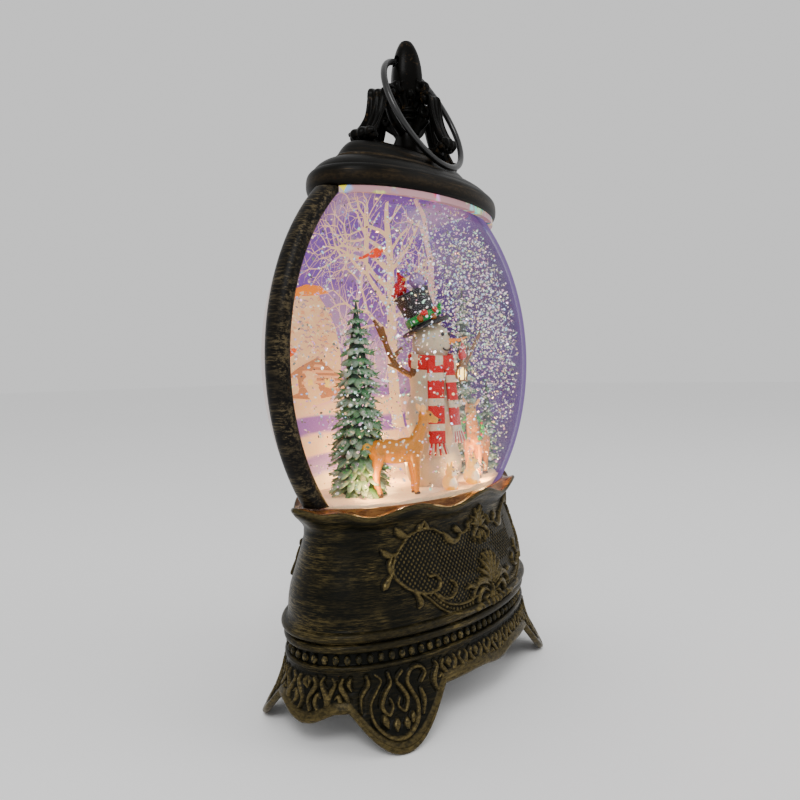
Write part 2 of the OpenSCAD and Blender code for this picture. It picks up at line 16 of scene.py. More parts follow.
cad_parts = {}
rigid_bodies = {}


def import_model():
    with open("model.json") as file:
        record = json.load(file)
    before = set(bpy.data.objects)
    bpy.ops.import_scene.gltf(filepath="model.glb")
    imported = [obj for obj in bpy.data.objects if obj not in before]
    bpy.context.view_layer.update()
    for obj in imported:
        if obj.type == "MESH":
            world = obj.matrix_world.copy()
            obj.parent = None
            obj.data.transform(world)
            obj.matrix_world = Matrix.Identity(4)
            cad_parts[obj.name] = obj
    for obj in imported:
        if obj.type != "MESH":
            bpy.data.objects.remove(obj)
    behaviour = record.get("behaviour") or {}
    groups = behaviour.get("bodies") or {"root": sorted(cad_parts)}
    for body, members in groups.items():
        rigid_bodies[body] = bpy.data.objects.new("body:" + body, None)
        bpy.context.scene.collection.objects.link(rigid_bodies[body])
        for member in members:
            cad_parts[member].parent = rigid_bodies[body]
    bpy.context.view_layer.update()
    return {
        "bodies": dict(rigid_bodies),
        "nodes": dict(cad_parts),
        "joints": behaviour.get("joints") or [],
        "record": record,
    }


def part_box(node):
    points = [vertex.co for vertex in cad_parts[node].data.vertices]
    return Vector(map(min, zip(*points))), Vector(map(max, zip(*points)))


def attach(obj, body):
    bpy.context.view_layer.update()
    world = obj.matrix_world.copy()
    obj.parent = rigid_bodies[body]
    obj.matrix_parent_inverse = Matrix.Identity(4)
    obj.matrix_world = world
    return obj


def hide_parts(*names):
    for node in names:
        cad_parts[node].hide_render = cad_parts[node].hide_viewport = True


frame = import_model()
MM = 0.001
rng = np.random.default_rng(7)

# ------------------------------------------------------------------ sizes
# Taken from the frame where a node holds them, otherwise as in the CAD source.


def node_box(name):
    """Lowest and highest corner of a CAD node, in millimetres."""
    low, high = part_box(name)
    return np.array(low) / MM, np.array(high) / MM


GLOBE_LOW, GLOBE_HIGH = node_box("globe_back_shell")
GLOBE_R = (GLOBE_HIGH[0] - GLOBE_LOW[0]) / 2
GLOBE_HALF = GLOBE_HIGH[1]
GLOBE_Z = GLOBE_HIGH[2] - GLOBE_R
BAND_R = -node_box("left_rim_band")[0][0]
BAND_HALF = node_box("left_rim_band")[1][1]
GROUND_Z = node_box("snow_ground")[1][2]
CROWN_Z = node_box("top_cap")[1][2]
TOTAL_H = node_box("finial")[1][2]
DOME_CUT_Z = 76.5
BAND_LOW_Z, BAND_HIGH_Z = 90.2, 213.4
SNOW_A, SNOW_B, SNOW_LOW_Z = 61, 28.5, 78.0
BASE_A = 77.8
BASE_B = 42.2
CAP_A = 59.8
CAP_B = 31.5
BODY = "housing"

# ------------------------------------------------------------------ meshes


def make_piece(name, verts, faces, material, body=BODY, slot=None, replaces=(), smooth=True,
               attributes=None,
               face_materials=None):
    """Adds a mesh from millimetre points, with its material, body and point attributes. The slot
    argument is not used.
    """
    mesh = bpy.data.meshes.new(name)
    mesh.from_pydata([tuple(v) for v in np.asarray(verts) * MM], [],
                     [tuple(int(i) for i in f) for f in faces])
    mesh.validate()
    materials = material if isinstance(material, (list, tuple)) else [material]
    for m in materials:
        mesh.materials.append(m)
    if face_materials is not None:
        mesh.polygons.foreach_set("material_index", np.asarray(face_materials, dtype=np.int32))
    if smooth:
        mesh.polygons.foreach_set("use_smooth", np.ones(len(mesh.polygons), dtype=bool))
    for key, values in (attributes or {}).items():
        values = np.asarray(values, dtype=np.float32)
        if values.ndim == 1:
            mesh.attributes.new(key, "FLOAT", "POINT").data.foreach_set("value", values)
        else:
            full = np.ones((len(values), 4), dtype=np.float32)
            full[:, :3] = values
            mesh.attributes.new(key, "FLOAT_COLOR", "POINT").data.foreach_set("color", full.ravel())
    mesh.update()
    obj = bpy.data.objects.new(name, mesh)
    bpy.context.scene.collection.objects.link(obj)
    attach(obj, body)
    if replaces:
        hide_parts(*replaces)
    return obj


class Batch:
    """Collects many small shapes into one mesh, with a colour for each point."""

    def __init__(self):
        self.verts = []
        self.faces = []
        self.colours = []
        self.slots = []
        self.count = 0

    def add(self, verts, faces, colour=(1, 1, 1), slot=0):
        verts = np.asarray(verts, dtype=float)
        self.verts.append(verts)
        self.faces += [tuple(int(i) + self.count for i in f) for f in faces]
        self.slots += [slot] * len(faces)
        colour = np.asarray(colour, dtype=float)
        if colour.ndim == 1:
            colour = np.tile(colour, (len(verts), 1))
        self.colours.append(colour)
        self.count += len(verts)

    def build(self, name, material, **more):
        verts = np.vstack(self.verts)
        return make_piece(name, verts, self.faces, material,
                          attributes={"paint": np.vstack(self.colours)},
                          face_materials=self.slots, **more)


def grid_faces(rows, cols, closed_rows=False, closed_cols=False):
    """Quads of a grid of points stored row by row."""
    r = np.arange(rows if closed_rows else rows - 1)
    c = np.arange(cols if closed_cols else cols - 1)
    i, j = np.meshgrid(r, c, indexing="ij")
    i2 = (i + 1) % rows
    j2 = (j + 1) % cols
    return np.stack([i * cols + j, i * cols + j2, i2 * cols + j2, i2 * cols + j],
                    axis=-1).reshape(-1, 4)


def sheet_rim(rows, cols):
    """Indices round the outside of a grid of points."""
    return np.concatenate([np.arange(cols), np.arange(1, rows) * cols + cols - 1,
                           (rows - 1) * cols + np.arange(cols - 2, -1, -1),
                           np.arange(rows - 2, 0, -1) * cols])


def ball(centre, radii, seg=24, rings=16, turn=None):
    """Ellipsoid points and faces."""
    a = np.linspace(0, 2 * np.pi, seg, endpoint=False)
    b = np.linspace(-np.pi / 2, np.pi / 2, rings + 1)[1:-1]
    bb, aa = np.meshgrid(b, a, indexing="ij")
    pts = np.stack([np.cos(bb) * np.cos(aa), np.cos(bb) * np.sin(aa), np.sin(bb)], -1).reshape(-1,
                                                                                               3)
    pts = np.vstack([pts, [[0, 0, -1], [0, 0, 1]]]) * np.asarray(radii, dtype=float)
    if turn is not None:
        pts = pts @ np.asarray(turn).T
    pts = pts + np.asarray(centre, dtype=float)
    faces = [tuple(f) for f in grid_faces(rings - 1, seg, closed_cols=True)]
    low, high = len(pts) - 2, len(pts) - 1
    top = (rings - 2) * seg
    for j in range(seg):
        faces.append((low, (j + 1) % seg, j))
        faces.append((high, top + j, top + (j + 1) % seg))
    return pts, faces


def spline(points, n=24):
    """Smooth open curve through given points."""
    p = np.asarray(points, dtype=float)
    p = np.vstack([2 * p[0] - p[1], p, 2 * p[-1] - p[-2]])
    out = []
    for k in range(1, len(p) - 2):
        t = np.linspace(0, 1, n, endpoint=(k == len(p) - 3))[:, None]
        a, b, c, d = p[k - 1], p[k], p[k + 1], p[k + 2]
        out.append(0.5 * (2 * b + (c - a) * t + (2 * a - 5 * b + 4 * c - d) * t ** 2
                          + (3 * b - a - 3 * c + d) * t ** 3))
    return np.vstack(out)


def tube(path, radii, sides=12, flat=1.0, side_dir=None):
    """Closed tube along a path, with radii spread evenly along it.

    flat squeezes the section along its second axis.
    """
    path = np.asarray(path, dtype=float)
    n = len(path)
    radii = np.atleast_1d(np.asarray(radii, dtype=float))
    radii = np.interp(np.linspace(0, 1, n), np.linspace(0, 1, len(radii)), radii)
    along = np.gradient(path, axis=0)
    along /= np.linalg.norm(along, axis=1, keepdims=True) + 1e-9
    ref = np.array(side_dir if side_dir is not None else (0.3, 0.9, 0.2), dtype=float)
    first = np.zeros_like(path)
    for k in range(n):
        ref = ref - along[k] * (ref @ along[k])
        ref /= np.linalg.norm(ref) + 1e-9
        first[k] = ref
    second = np.cross(along, first)
    a = np.linspace(0, 2 * np.pi, sides, endpoint=False)
    ring = (np.cos(a)[None, :, None] * first[:, None]
            + flat * np.sin(a)[None, :, None] * second[:, None])
    pts = (path[:, None] + ring * radii[:, None, None]).reshape(-1, 3)
    faces = [tuple(f) for f in grid_faces(n, sides, closed_cols=True)]
    pts = np.vstack([pts, path[:1], path[-1:]])
    for j in range(sides):
        faces.append((n * sides, (j + 1) % sides, j))
        faces.append((n * sides + 1, (n - 1) * sides + j, (n - 1) * sides + (j + 1) % sides))
    return pts, faces


def lathe(profile, seg):
    """Turned shape from (radius, height) pairs, with its ends closed."""
    profile = np.asarray(profile, dtype=float)
    t = np.linspace(0, 2 * np.pi, seg, endpoint=False)
    pts = np.stack([profile[:, 0][:, None] * np.cos(t), profile[:, 0][:, None] * np.sin(t),
                    np.repeat(profile[:, 1][:, None], seg, 1)], -1).reshape(-1, 3)
    faces = [tuple(f) for f in grid_faces(len(profile), seg, closed_cols=True)]
    faces.append(tuple(range(seg))[::-1])
    last = (len(profile) - 1) * seg
    faces.append(tuple(range(last, last + seg)))
    return pts, faces


def arc(cx, cz, r, start, end, n):
    """Points of an arc in a section, angles in degrees."""
    a = np.radians(np.linspace(start, end, n))
    return np.stack([cx + r * np.cos(a), cz + r * np.sin(a)], -1)


def ease(x):
    x = np.clip(x, 0, 1)
    return x * x * (3 - 2 * x)


# ------------------------------------------------------------------ materials


class Nodes:
    """Short names for building a node tree."""

    def __init__(self, name):
        self.material = bpy.data.materials.new(name)
        self.material.use_nodes = True
        self.tree = self.material.node_tree
        self.shader = self.tree.nodes["Principled BSDF"]
        self.output = self.tree.nodes["Material Output"]

    def new(self, kind, **settings):
        node = self.tree.nodes.new(kind)
        for key, value in settings.items():
            if key in node.inputs:
                node.inputs[key].default_value = value
            else:
                setattr(node, key, value)
        return node

    def link(self, a, b):
        self.tree.links.new(a, b)

    def set(self, **values):
        for key, value in values.items():
            self.shader.inputs[key.replace("_", " ")].default_value = value

    def place(self, scale=(1, 1, 1)):
        """Object coordinates in millimetres times scale."""
        coords = self.new("ShaderNodeTexCoord")
        mapping = self.new("ShaderNodeMapping")
        mapping.inputs["Scale"].default_value = [1000 * k for k in scale]
        self.link(coords.outputs["Object"], mapping.inputs["Vector"])
        return mapping.outputs["Vector"]

    def noise(self, scale=(1, 1, 1), detail=3.0, rough=0.55):
        node = self.new("ShaderNodeTexNoise", Scale=1.0, Detail=detail, Roughness=rough)
        self.link(self.place(scale), node.inputs["Vector"])
        return node.outputs["Fac"]

    def ramp(self, value, low, high, out_low=0.0, out_high=1.0):
        node = self.new("ShaderNodeMapRange", clamp=True, interpolation_type="SMOOTHSTEP")
        for key, number in (("From Min", low), ("From Max", high), ("To Min", out_low),
                            ("To Max", out_high)):
            node.inputs[key].default_value = number
        self.link(value, node.inputs["Value"])
        return node.outputs["Result"]

    def math(self, kind, a, b, clamp=False):
        node = self.new("ShaderNodeMath", operation=kind, use_clamp=clamp)
        for socket, value in zip(node.inputs, (a, b)):
            if isinstance(value, (int, float)):
                socket.default_value = value
            else:
                self.link(value, socket)
        return node.outputs[0]

    def mix(self, fac, a, b):
        node = self.new("ShaderNodeMix", data_type="RGBA")
        for socket, value in ((node.inputs[0], fac), (node.inputs[6], a), (node.inputs[7], b)):
            if isinstance(value, (int, float)):
                socket.default_value = value
            elif isinstance(value, (tuple, list)):
                socket.default_value = tuple(value) + (1.0,)
            else:
                self.link(value, socket)
        return node.outputs[2]

    def attribute(self, key, kind="Fac"):
        return self.new("ShaderNodeAttribute", attribute_name=key).outputs[kind]

    def bump(self, height, strength=0.3, distance=0.0003):
        node = self.new("ShaderNodeBump", Strength=strength, Distance=distance)
        self.link(height, node.inputs["Height"])
        self.link(node.outputs["Normal"], self.shader.inputs["Normal"])


def bronze(name, streak, dark, gold, amount=0.0, has_relief=False, rough=0.42, shine=0.07):
    """Dark paint dry-brushed with gold, in short streaks and on raised relief."""
    m = Nodes(name)
    fine = m.noise(streak, detail=5.0, rough=0.7)
    broad = m.noise([0.22 * k for k in streak], detail=2.0)
    patch = m.noise((0.045, 0.045, 0.07), detail=3.0)
    strokes = m.ramp(m.math("ADD", m.math("MULTIPLY", fine, 0.7), m.math("MULTIPLY", broad, 0.3)),
                     0.47 - amount, 0.66 - amount)
    strokes = m.math("MULTIPLY", strokes, m.ramp(patch, 0.38, 0.66, 0.12, 0.8))
    if has_relief:
        grain = m.ramp(m.noise((0.5, 0.5, 1.1), detail=5.0, rough=0.7), 0.36, 0.64, 0.25, 1.0)
        raised = m.math("MULTIPLY", m.math("MULTIPLY", m.attribute("raised"), 0.85), grain)
        keep = m.math("SUBTRACT", 1.0, m.attribute("shade"), clamp=True)
        strokes = m.math("MAXIMUM", m.math("MULTIPLY", strokes, keep), raised)
    colour = m.mix(strokes, dark, gold)
    m.link(colour, m.shader.inputs["Base Color"])
    m.link(m.ramp(strokes, 0.0, 1.0, rough, rough - 0.1), m.shader.inputs["Roughness"])
    m.link(m.ramp(strokes, 0.0, 1.0, 0.0, 0.7), m.shader.inputs["Metallic"])
    m.bump(fine, strength=0.3, distance=0.00025)
    m.set(Specular_IOR_Level=shine)
    return m.material


def plain(name, colour, rough=0.4, metallic=0.0, vary=0.12, scale=0.6, emission=0.0, **more):
    """Solid material with slight colour and surface variation."""
    m = Nodes(name)
    grain = m.noise((scale, scale, scale), detail=4.0)
    low = tuple(c * (1 - vary) for c in colour)
    high = tuple(min(1.0, c * (1 + vary)) for c in colour)
    mixed = m.mix(m.ramp(grain, 0.3, 0.7), low, high)
    m.link(mixed, m.shader.inputs["Base Color"])
    m.link(m.ramp(grain, 0.2, 0.8, rough * 0.85, min(1.0, rough * 1.15)),
           m.shader.inputs["Roughness"])
    m.bump(grain, strength=0.08, distance=0.0002)
    m.set(Metallic=metallic)
    if emission:
        m.link(mixed, m.shader.inputs["Emission Color"])
        m.set(Emission_Strength=emission)
    m.set(**more)
    return m.material


PAINT_RICHNESS = 1.2


def painted(name, rough=0.35, emission=0.0, vary=0.1, bump=0.12, coat=0.0, subsurface=0.0):
    """Colour from the mesh's own paint attribute, broken up by a fine grain."""
    m = Nodes(name)
    grain = m.noise((1.3, 1.3, 1.3), detail=4.0)
    paint = m.attribute("paint", "Color")
    shade = m.new("ShaderNodeHueSaturation", Saturation=PAINT_RICHNESS)
    m.link(paint, shade.inputs["Color"])
    m.link(m.ramp(grain, 0.3, 0.7, 1 - vary, 1 + vary), shade.inputs["Value"])
    m.link(shade.outputs["Color"], m.shader.inputs["Base Color"])
    m.link(m.ramp(grain, 0.2, 0.8, rough * 0.85, min(1.0, rough * 1.2)),
           m.shader.inputs["Roughness"])
    m.bump(grain, strength=bump, distance=0.0003)
    m.set(Coat_Weight=coat)
    if subsurface:
        m.set(Subsurface_Weight=subsurface, Subsurface_Scale=0.002)
    if emission:
        m.link(shade.outputs["Color"], m.shader.inputs["Emission Color"])
        m.set(Emission_Strength=emission)
    return m.material


def pane(name, tint, rim, rim_start):
    """Clear wall with a soft mirror, and a coloured glow at its edges."""
    m = Nodes(name)
    clear = m.new("ShaderNodeBsdfTransparent", Color=tuple(tint) + (1,))
    gloss = m.new("ShaderNodeBsdfGlossy", Roughness=0.06)
    fresnel = m.new("ShaderNodeFresnel", IOR=1.25)
    smear = m.noise((0.06, 0.06, 0.06), detail=2.0)
    share = m.math("MULTIPLY", fresnel.outputs[0], m.ramp(smear, 0.2, 0.8, 0.12, 0.22))
    blend = m.new("ShaderNodeMixShader")
    m.link(share, blend.inputs[0])
    m.link(clear.outputs[0], blend.inputs[1])
    m.link(gloss.outputs[0], blend.inputs[2])
    edge = m.new("ShaderNodeLayerWeight", Blend=0.5)
    glow_colour = m.new("ShaderNodeEmission", Color=tuple(rim) + (1,), Strength=1.0)
    rimmed = m.new("ShaderNodeMixShader")
    m.link(m.ramp(edge.outputs["Facing"], rim_start, 0.97, 0.0, 0.85), rimmed.inputs[0])
    m.link(blend.outputs[0], rimmed.inputs[1])
    m.link(glow_colour.outputs[0], rimmed.inputs[2])
    m.link(rimmed.outputs[0], m.output.inputs["Surface"])
    m.tree.nodes.remove(m.shader)
    return m.material


# ------------------------------------------------------------------ camera
# A hand-held phone close to the left of the front, level with the globe.

CAMERA_AT = (-288.85, -186.39, 142.14)
CAMERA_AZIMUTH = math.radians(57.165)
CAMERA_TILT = math.radians(2.23)
CAMERA_ROLL = -0.017
CAMERA_LENS = 33.75


def make_camera():
    az, el = CAMERA_AZIMUTH, CAMERA_TILT
    right = Vector((math.cos(az), -math.sin(az), 0))
    back = Vector((-math.sin(az) * math.cos(el), -math.cos(az) * math.cos(el), math.sin(el)))
    up = back.cross(right)
    across = math.cos(CAMERA_ROLL) * right + math.sin(CAMERA_ROLL) * up
    upward = -math.sin(CAMERA_ROLL) * right + math.cos(CAMERA_ROLL) * up
    turn = Matrix((across, upward, back)).transposed().to_4x4()
    data = bpy.data.cameras.new("camera")
    data.sensor_width = 36
    data.lens = CAMERA_LENS
    data.shift_x = -0.0149
    data.shift_y = -0.0016
    data.clip_start = 0.01
    camera = bpy.data.objects.new("camera", data)
    camera.matrix_world = Matrix.Translation(Vector(CAMERA_AT) * MM) @ turn
    bpy.context.scene.collection.objects.link(camera)
    bpy.context.scene.camera = camera


make_camera()

# ------------------------------------------------------------------ base shape

SEAT_Z = 89.0
LIP_Z = 86.8
LIP_WAVE = 2.2
SKIRT_TOP = 28.8
SKIRT_Z = 18.0
WALL = 2.3
BEAD_Z = 33.2
BEAD_OUT = -2.9
FOOT_AT = 48.5
BODY_TOP = 79.2
BODY_LOW = 44.4
# What each row of the base shell belongs to
LEDGE, RIM, SHOULDER, PANEL, MOULDING, CHANNEL, SKIRT, EDGE, INSIDE = range(1, 10)
BODY_PROFILE = np.array([[-9.9, 80], [-9.75, 76], [-8.8, 72], [-7.6, 68], [-6.4, 64], [-5.1, 60],
                         [-3.9, 56],
                         [-3.2, 52], [-2.9, 48], [-2.8, 44]])


def outward(t):
    n = np.stack([BASE_B * np.cos(t), BASE_A * np.sin(t)], -1)
    return n / np.linalg.norm(n, axis=-1, keepdims=True)


def base_point(t, d, z):
    """Point at plan angle t, d outside the largest moulding, at height z."""
    n = outward(t)
    return np.stack([BASE_A * np.cos(t) + d * n[..., 0], BASE_B * np.sin(t) + d * n[..., 1],
                     np.broadcast_to(z, np.shape(t))], -1)


def from_front(t):
    """Degrees away from the middle of the front or rear, 0 to 90."""
    return np.abs(90 - np.abs(np.degrees(t)) % 180)


def foot(u):
    """One at the middle of a foot, nothing between the feet."""
    near = np.where(u < FOOT_AT, (FOOT_AT - u) / 20, (u - FOOT_AT) / 19)
    return np.where(near < 1, (0.5 + 0.5 * np.cos(np.pi * np.clip(near, 0, 1))) ** 0.54, 0)


def tip(u):
    return np.exp(-((90 - u) / 7) ** 2)


def lip_height(u):
    wave = (LIP_WAVE - 1.1 * u / 90) * np.cos(np.radians(10 * u))
    return LIP_Z - (u / 90) ** 2 + wave + 5.6 * tip(u)


def lip_out(u):
    return -4.8 + 0.6 * np.cos(np.radians(10 * u)) + 9.4 * tip(u)


def seat_out(t):
    return -9.9 - 2.4 * np.cos(t) ** 2


def skirt_edge(u):
    """Height of the skirt's lower edge: a drop, scallops near the ends, and feet at zero."""
    scallops = 0.7 * np.sin(np.radians(u * 16)) * ease((u - 66) / 8)
    edge = SKIRT_Z - 2 * np.exp(-(u / 7) ** 2) - 8 * (u / 90) ** 3 + scallops
    return edge * (1 - foot(u))


def skirt_out(u):
    return 0.8 + 1.4 * (u / 90) ** 2 + 7.8 * foot(u)


# Plan angle against the distance along the base from the middle of the front
PLAN_T = np.linspace(-np.pi, 0, 4001)
PLAN_S = np.concatenate([[0], np.cumsum(np.linalg.norm(np.diff(base_point(PLAN_T, -3.0, 0.0),
                                                               axis=0), axis=1))])
QUARTER = PLAN_S[-1] / 2


def angle_at(s):
    """Plan angle, -180 to 0 degrees, at distance s right of the front's middle."""
    return np.interp(np.asarray(s, dtype=float) + QUARTER, PLAN_S, PLAN_T)


# ------------------------------------------------------------------ relief on the base


class Relief:
    """Height field on the unrolled base: s runs along it, z up."""

    def __init__(self, s, z):
        self.s, self.z = s, z
        self.height = np.zeros_like(s)
        self.raised = np.zeros_like(s)
        self.shade = np.zeros_like(s)

    def window(self, points, margin):
        low = points.min(0) - margin
        high = points.max(0) + margin
        near = (self.s > low[0]) & (self.s < high[0]) & (self.z > low[1]) & (self.z < high[1])
        return np.nonzero(near)

    def stroke(self, path, width, tall=0.9, gold=1.0, groove=0.0):
        """Rounded ridge along a path. width is one number, or one for each path point."""
        path = np.asarray(path, dtype=float)
        width = np.broadcast_to(np.asarray(width, dtype=float), (len(path),))
        where = self.window(path, width.max() + 1.5)
        if not len(where[0]):
            return
        s, z = self.s[where], self.z[where]
        gap = np.hypot(s[:, None] - path[None, :, 0], z[:, None] - path[None, :, 1])
        ratio = gap / np.maximum(width, 0.05)[None, :]
        near = ratio.argmin(1)
        rows = np.arange(len(s))
        r = ratio[rows, near]
        w = width[near]
        ridge = tall * np.minimum(1.0, 0.45 + w) * np.sqrt(np.clip(1 - r ** 2, 0, 1))
        self.height[where] = np.maximum(self.height[where], ridge)
        self.raised[where] = np.maximum(self.raised[where], gold * ease((1 - r) / 0.45))
        if groove:
            beside = np.exp(-((gap[rows, near] - w) / 0.7) ** 2) * (r > 1)
            self.height[where] -= groove * beside
            self.shade[where] = np.maximum(self.shade[where], 0.9 * beside)

    def both(self, path, width, **more):
        """The same stroke on the left and mirrored on the right."""
        path = np.asarray(path, dtype=float)
        self.stroke(path, width, **more)
        self.stroke(path * (-1, 1), width, **more)


def taper(n, thick, start=0.25, end=0.25, peak=0.4):
    """Widths along a stroke: thin at its ends, thickest at peak."""
    t = np.linspace(0, 1, n)
    rise = np.where(t < peak, start + (1 - start) * ease(t / peak),
                    end + (1 - end) * ease((1 - t) / (1 - peak)))
    return thick * rise


def leaf_stroke(relief, points, thick, peak=0.35, mirrored=True, **more):
    path = spline(points, 14)
    width = taper(len(path), 1.15 * thick, peak=peak)
    (relief.both if mirrored else relief.stroke)(path, width, **more)


def inside_outline(s, z, outline):
    """True where a point lies inside a closed outline."""
    hit = np.zeros(s.shape, dtype=bool)
    x0, z0 = outline[-1]
    for x1, z1 in outline:
        crosses = (z1 > z) != (z0 > z)
        with np.errstate(divide="ignore", invalid="ignore"):
            hit ^= crosses & (s < (x0 - x1) * (z - z1) / (z0 - z1) + x1)
        x0, z0 = x1, z1
    return hit


FIELD_LEFT = [(0, 76), (-7, 75), (-15.5, 72.6), (-20, 71.2), (-25, 72.8), (-31, 76), (-38, 78),
              (-44, 77.2),
              (-50, 73.6), (-54, 70), (-56.3, 64.6), (-55.2, 61), (-52, 58), (-47, 55.4),
              (-40, 54.2), (-35.5, 52),
              (-31, 48.8), (-25, 46.9), (-18, 46.4), (0, 47)]


def cartouche(relief):
    """Beaded panel in a scrolled frame, with a spray at the top and a shell at the foot."""
    s, z = relief.s, relief.z
    outline = spline(FIELD_LEFT, 4)
    outline = np.vstack([outline, (outline * (-1, 1))[::-1]])
    field = inside_outline(s, z, outline)
    pitch = 2.35
    bead = np.cos(np.pi * (s + z) / pitch) * np.cos(np.pi * (s - z) / pitch)
    dome = np.sqrt(np.clip(np.abs(bead), 0, 1))
    relief.height[field] = -0.55 + 0.75 * dome[field]
    relief.raised[field] = 0.85 * ease((dome[field] - 0.72) / 0.2)
    relief.shade[field] = 1.0

    frame = dict(tall=1.4, groove=0.35)
    # top edge of the frame, from the left scroll to the spray
    relief.both(spline([(-54.5, 69.5), (-50.6, 73.4), (-46.6, 76.4), (-42.2, 77.8), (-38, 78.2)]),
                0.55, **frame)
    relief.both(spline([(-38, 78.2), (-33, 77.4), (-29, 75.4), (-26.4, 74.3)]), 0.55, **frame)
    relief.both(spline([(-15.8, 72.6), (-12, 73.2), (-8, 75.2), (-5.5, 77)]), 0.5, **frame)
    # left scroll, round and back in under the field
    relief.both(spline([(-54.5, 69.5), (-56.3, 65.5), (-55.6, 61.8), (-52.4, 58.6), (-48.6, 56.2),
                        (-44.4, 54.6),
                        (-39.8, 54), (-36, 55.2), (-34.6, 57.8), (-36.4, 60), (-39.6, 60.2)]),
                0.65, **frame)
    # leaf tips outside the frame, then the curl that dips into the field
    for points, thick, peak in (
            ([(-46, 76.2), (-48.6, 76.8), (-51, 78), (-53.2, 80.2)], 1.7, 0.7),
            ([(-41.5, 77.8), (-40, 79.2), (-38.4, 81.4)], 1.3, 0.3),
            ([(-36.2, 77.8), (-37, 79.4), (-38.2, 81.2)], 1.2, 0.3),
            ([(-53, 70.8), (-55.8, 70.2), (-58.4, 70.9), (-60.6, 72.8)], 1.3, 0.7),
            ([(-55.4, 70.4), (-57.4, 67.4), (-57.6, 64.4), (-56.8, 62)], 0.95, 0.5),
            ([(-56.6, 63.6), (-58.8, 61.6), (-61.4, 58.4)], 1.3, 0.8),
            ([(-49, 56.2), (-46.6, 54), (-45.6, 51.2), (-46.8, 49.4)], 1.25, 0.65),
            ([(-27, 75.2), (-25.4, 73), (-22.6, 71), (-19.2, 70.8), (-16.4, 72.6)], 1.7, 0.3),
            ([(-15.2, 73.2), (-17, 74.6), (-19.8, 75.8)], 1.5, 0.75)):
        leaf_stroke(relief, points, thick, peak=peak, **frame)
    # double lower border with pearls between its lines
    outer = spline([(-44.6, 54.4), (-41, 51.6), (-36.6, 47.6), (-31, 44.4), (-25, 43), (-18, 42.6),
                    (-12, 43.4)])
    inner = spline([(-38.6, 53.6), (-35.4, 50.4), (-31, 47.8), (-25.6, 46.3), (-19.6, 45.9),
                    (-13, 46.8)])
    relief.both(outer, 0.5, **frame)
    relief.both(inner, 0.5, **frame)
    middle = spline([(-41.6, 53.9), (-38.1, 51), (-33.6, 47.6), (-28.6, 45.2), (-23, 44.4),
                     (-14, 44.9)])
    steps = np.concatenate([[0], np.cumsum(np.linalg.norm(np.diff(middle, axis=0), axis=1))])
    for at in np.arange(1.2, steps[-1], 2.1):
        x, h = (np.interp(at, steps, middle[:, k]) for k in (0, 1))
        relief.both([(x, h), (x + 0.05, h)], 0.72, tall=0.8, gold=0.9)
    # scroll that stands on the border
    relief.both(spline([(-36.4, 52.4), (-33.4, 50.4), (-29.8, 50.2), (-27, 51.8), (-26.2, 54.2),
                        (-27.6, 56.2)]),
                0.6, **frame)
    spray(relief)
    shell(relief)


def spray(relief):
    """Small leafy spray over the panel."""
    leaf = dict(tall=1.6, groove=0.3)
    leaf_stroke(relief, [(0, 74), (0.2, 78), (0, 82.4)], 1.5, peak=0.6, mirrored=False, **leaf)
    for reach, rise, thick in ((3.2, 81.4, 1.2), (6.0, 78.6, 1.1), (7.4, 75.4, 1.0)):
        leaf_stroke(relief, [(-0.6, 73.4), (-0.5 * reach, 0.5 * (73.4 + rise) + 0.6),
                             (-reach, rise)], thick, **leaf)
    for points, thick, peak in (
            ([(-1.6, 73), (-4.6, 72.4), (-7, 70.2), (-6.2, 67.8)], 1.1, 0.35),
            ([(-0.8, 72), (-2.6, 69.4), (-2.2, 66.4)], 1.0, 0.35),
            ([(-8.4, 77.2), (-9.6, 74.8), (-8.8, 72.6)], 0.9, 0.35)):
        leaf_stroke(relief, points, thick, peak=peak, **leaf)
    leaf_stroke(relief, [(0, 72), (0, 68.6)], 0.9, mirrored=False, **leaf)


def shell(relief):
    """Large shell of leaves and C-scrolls at the foot of the panel."""
    leaf = dict(tall=1.8, groove=0.3)
    leaf_stroke(relief, [(0, 50), (0.1, 57), (0, 63.4)], 1.3, peak=0.7, mirrored=False, **leaf)
    for reach, rise, thick in ((3.4, 62.6, 1.2), (6.6, 60.8, 1.15), (9.4, 57.4, 1.1),
                               (11.2, 53.6, 1.0)):
        leaf_stroke(relief, [(-0.8, 49.5), (-0.45 * reach, 0.5 * (49.5 + rise) + 0.4),
                             (-reach, rise)], thick,
                    peak=0.7, **leaf)
    for points, thick, peak in (
            ([(-2, 48.6), (-7, 51.4), (-12, 51.6), (-15.4, 48.6), (-16.6, 45.4)], 1.25, 0.35),
            ([(-3, 46.4), (-7.6, 48.6), (-11, 47), (-12, 43.6), (-10.4, 41.4)], 1.4, 0.5),
            ([(-14.8, 50.6), (-17.4, 52), (-20.2, 51.2)], 1.0, 0.35),
            ([(-3.4, 45.4), (-6, 44.6), (-7.2, 42.6), (-6, 41)], 0.9, 0.35),
            ([(-12.6, 43.2), (-15.2, 41.8), (-17.4, 42.6)], 0.9, 0.35)):
        leaf_stroke(relief, points, thick, peak=peak, **leaf)
    leaf_stroke(relief, [(0, 49), (0, 44.6), (0, 40.4)], 1.3, peak=0.5, mirrored=False, **leaf)
    leaf_stroke(relief, [(-1.2, 46), (-3.2, 42.6), (-2.6, 39.6)], 1.0, **leaf)


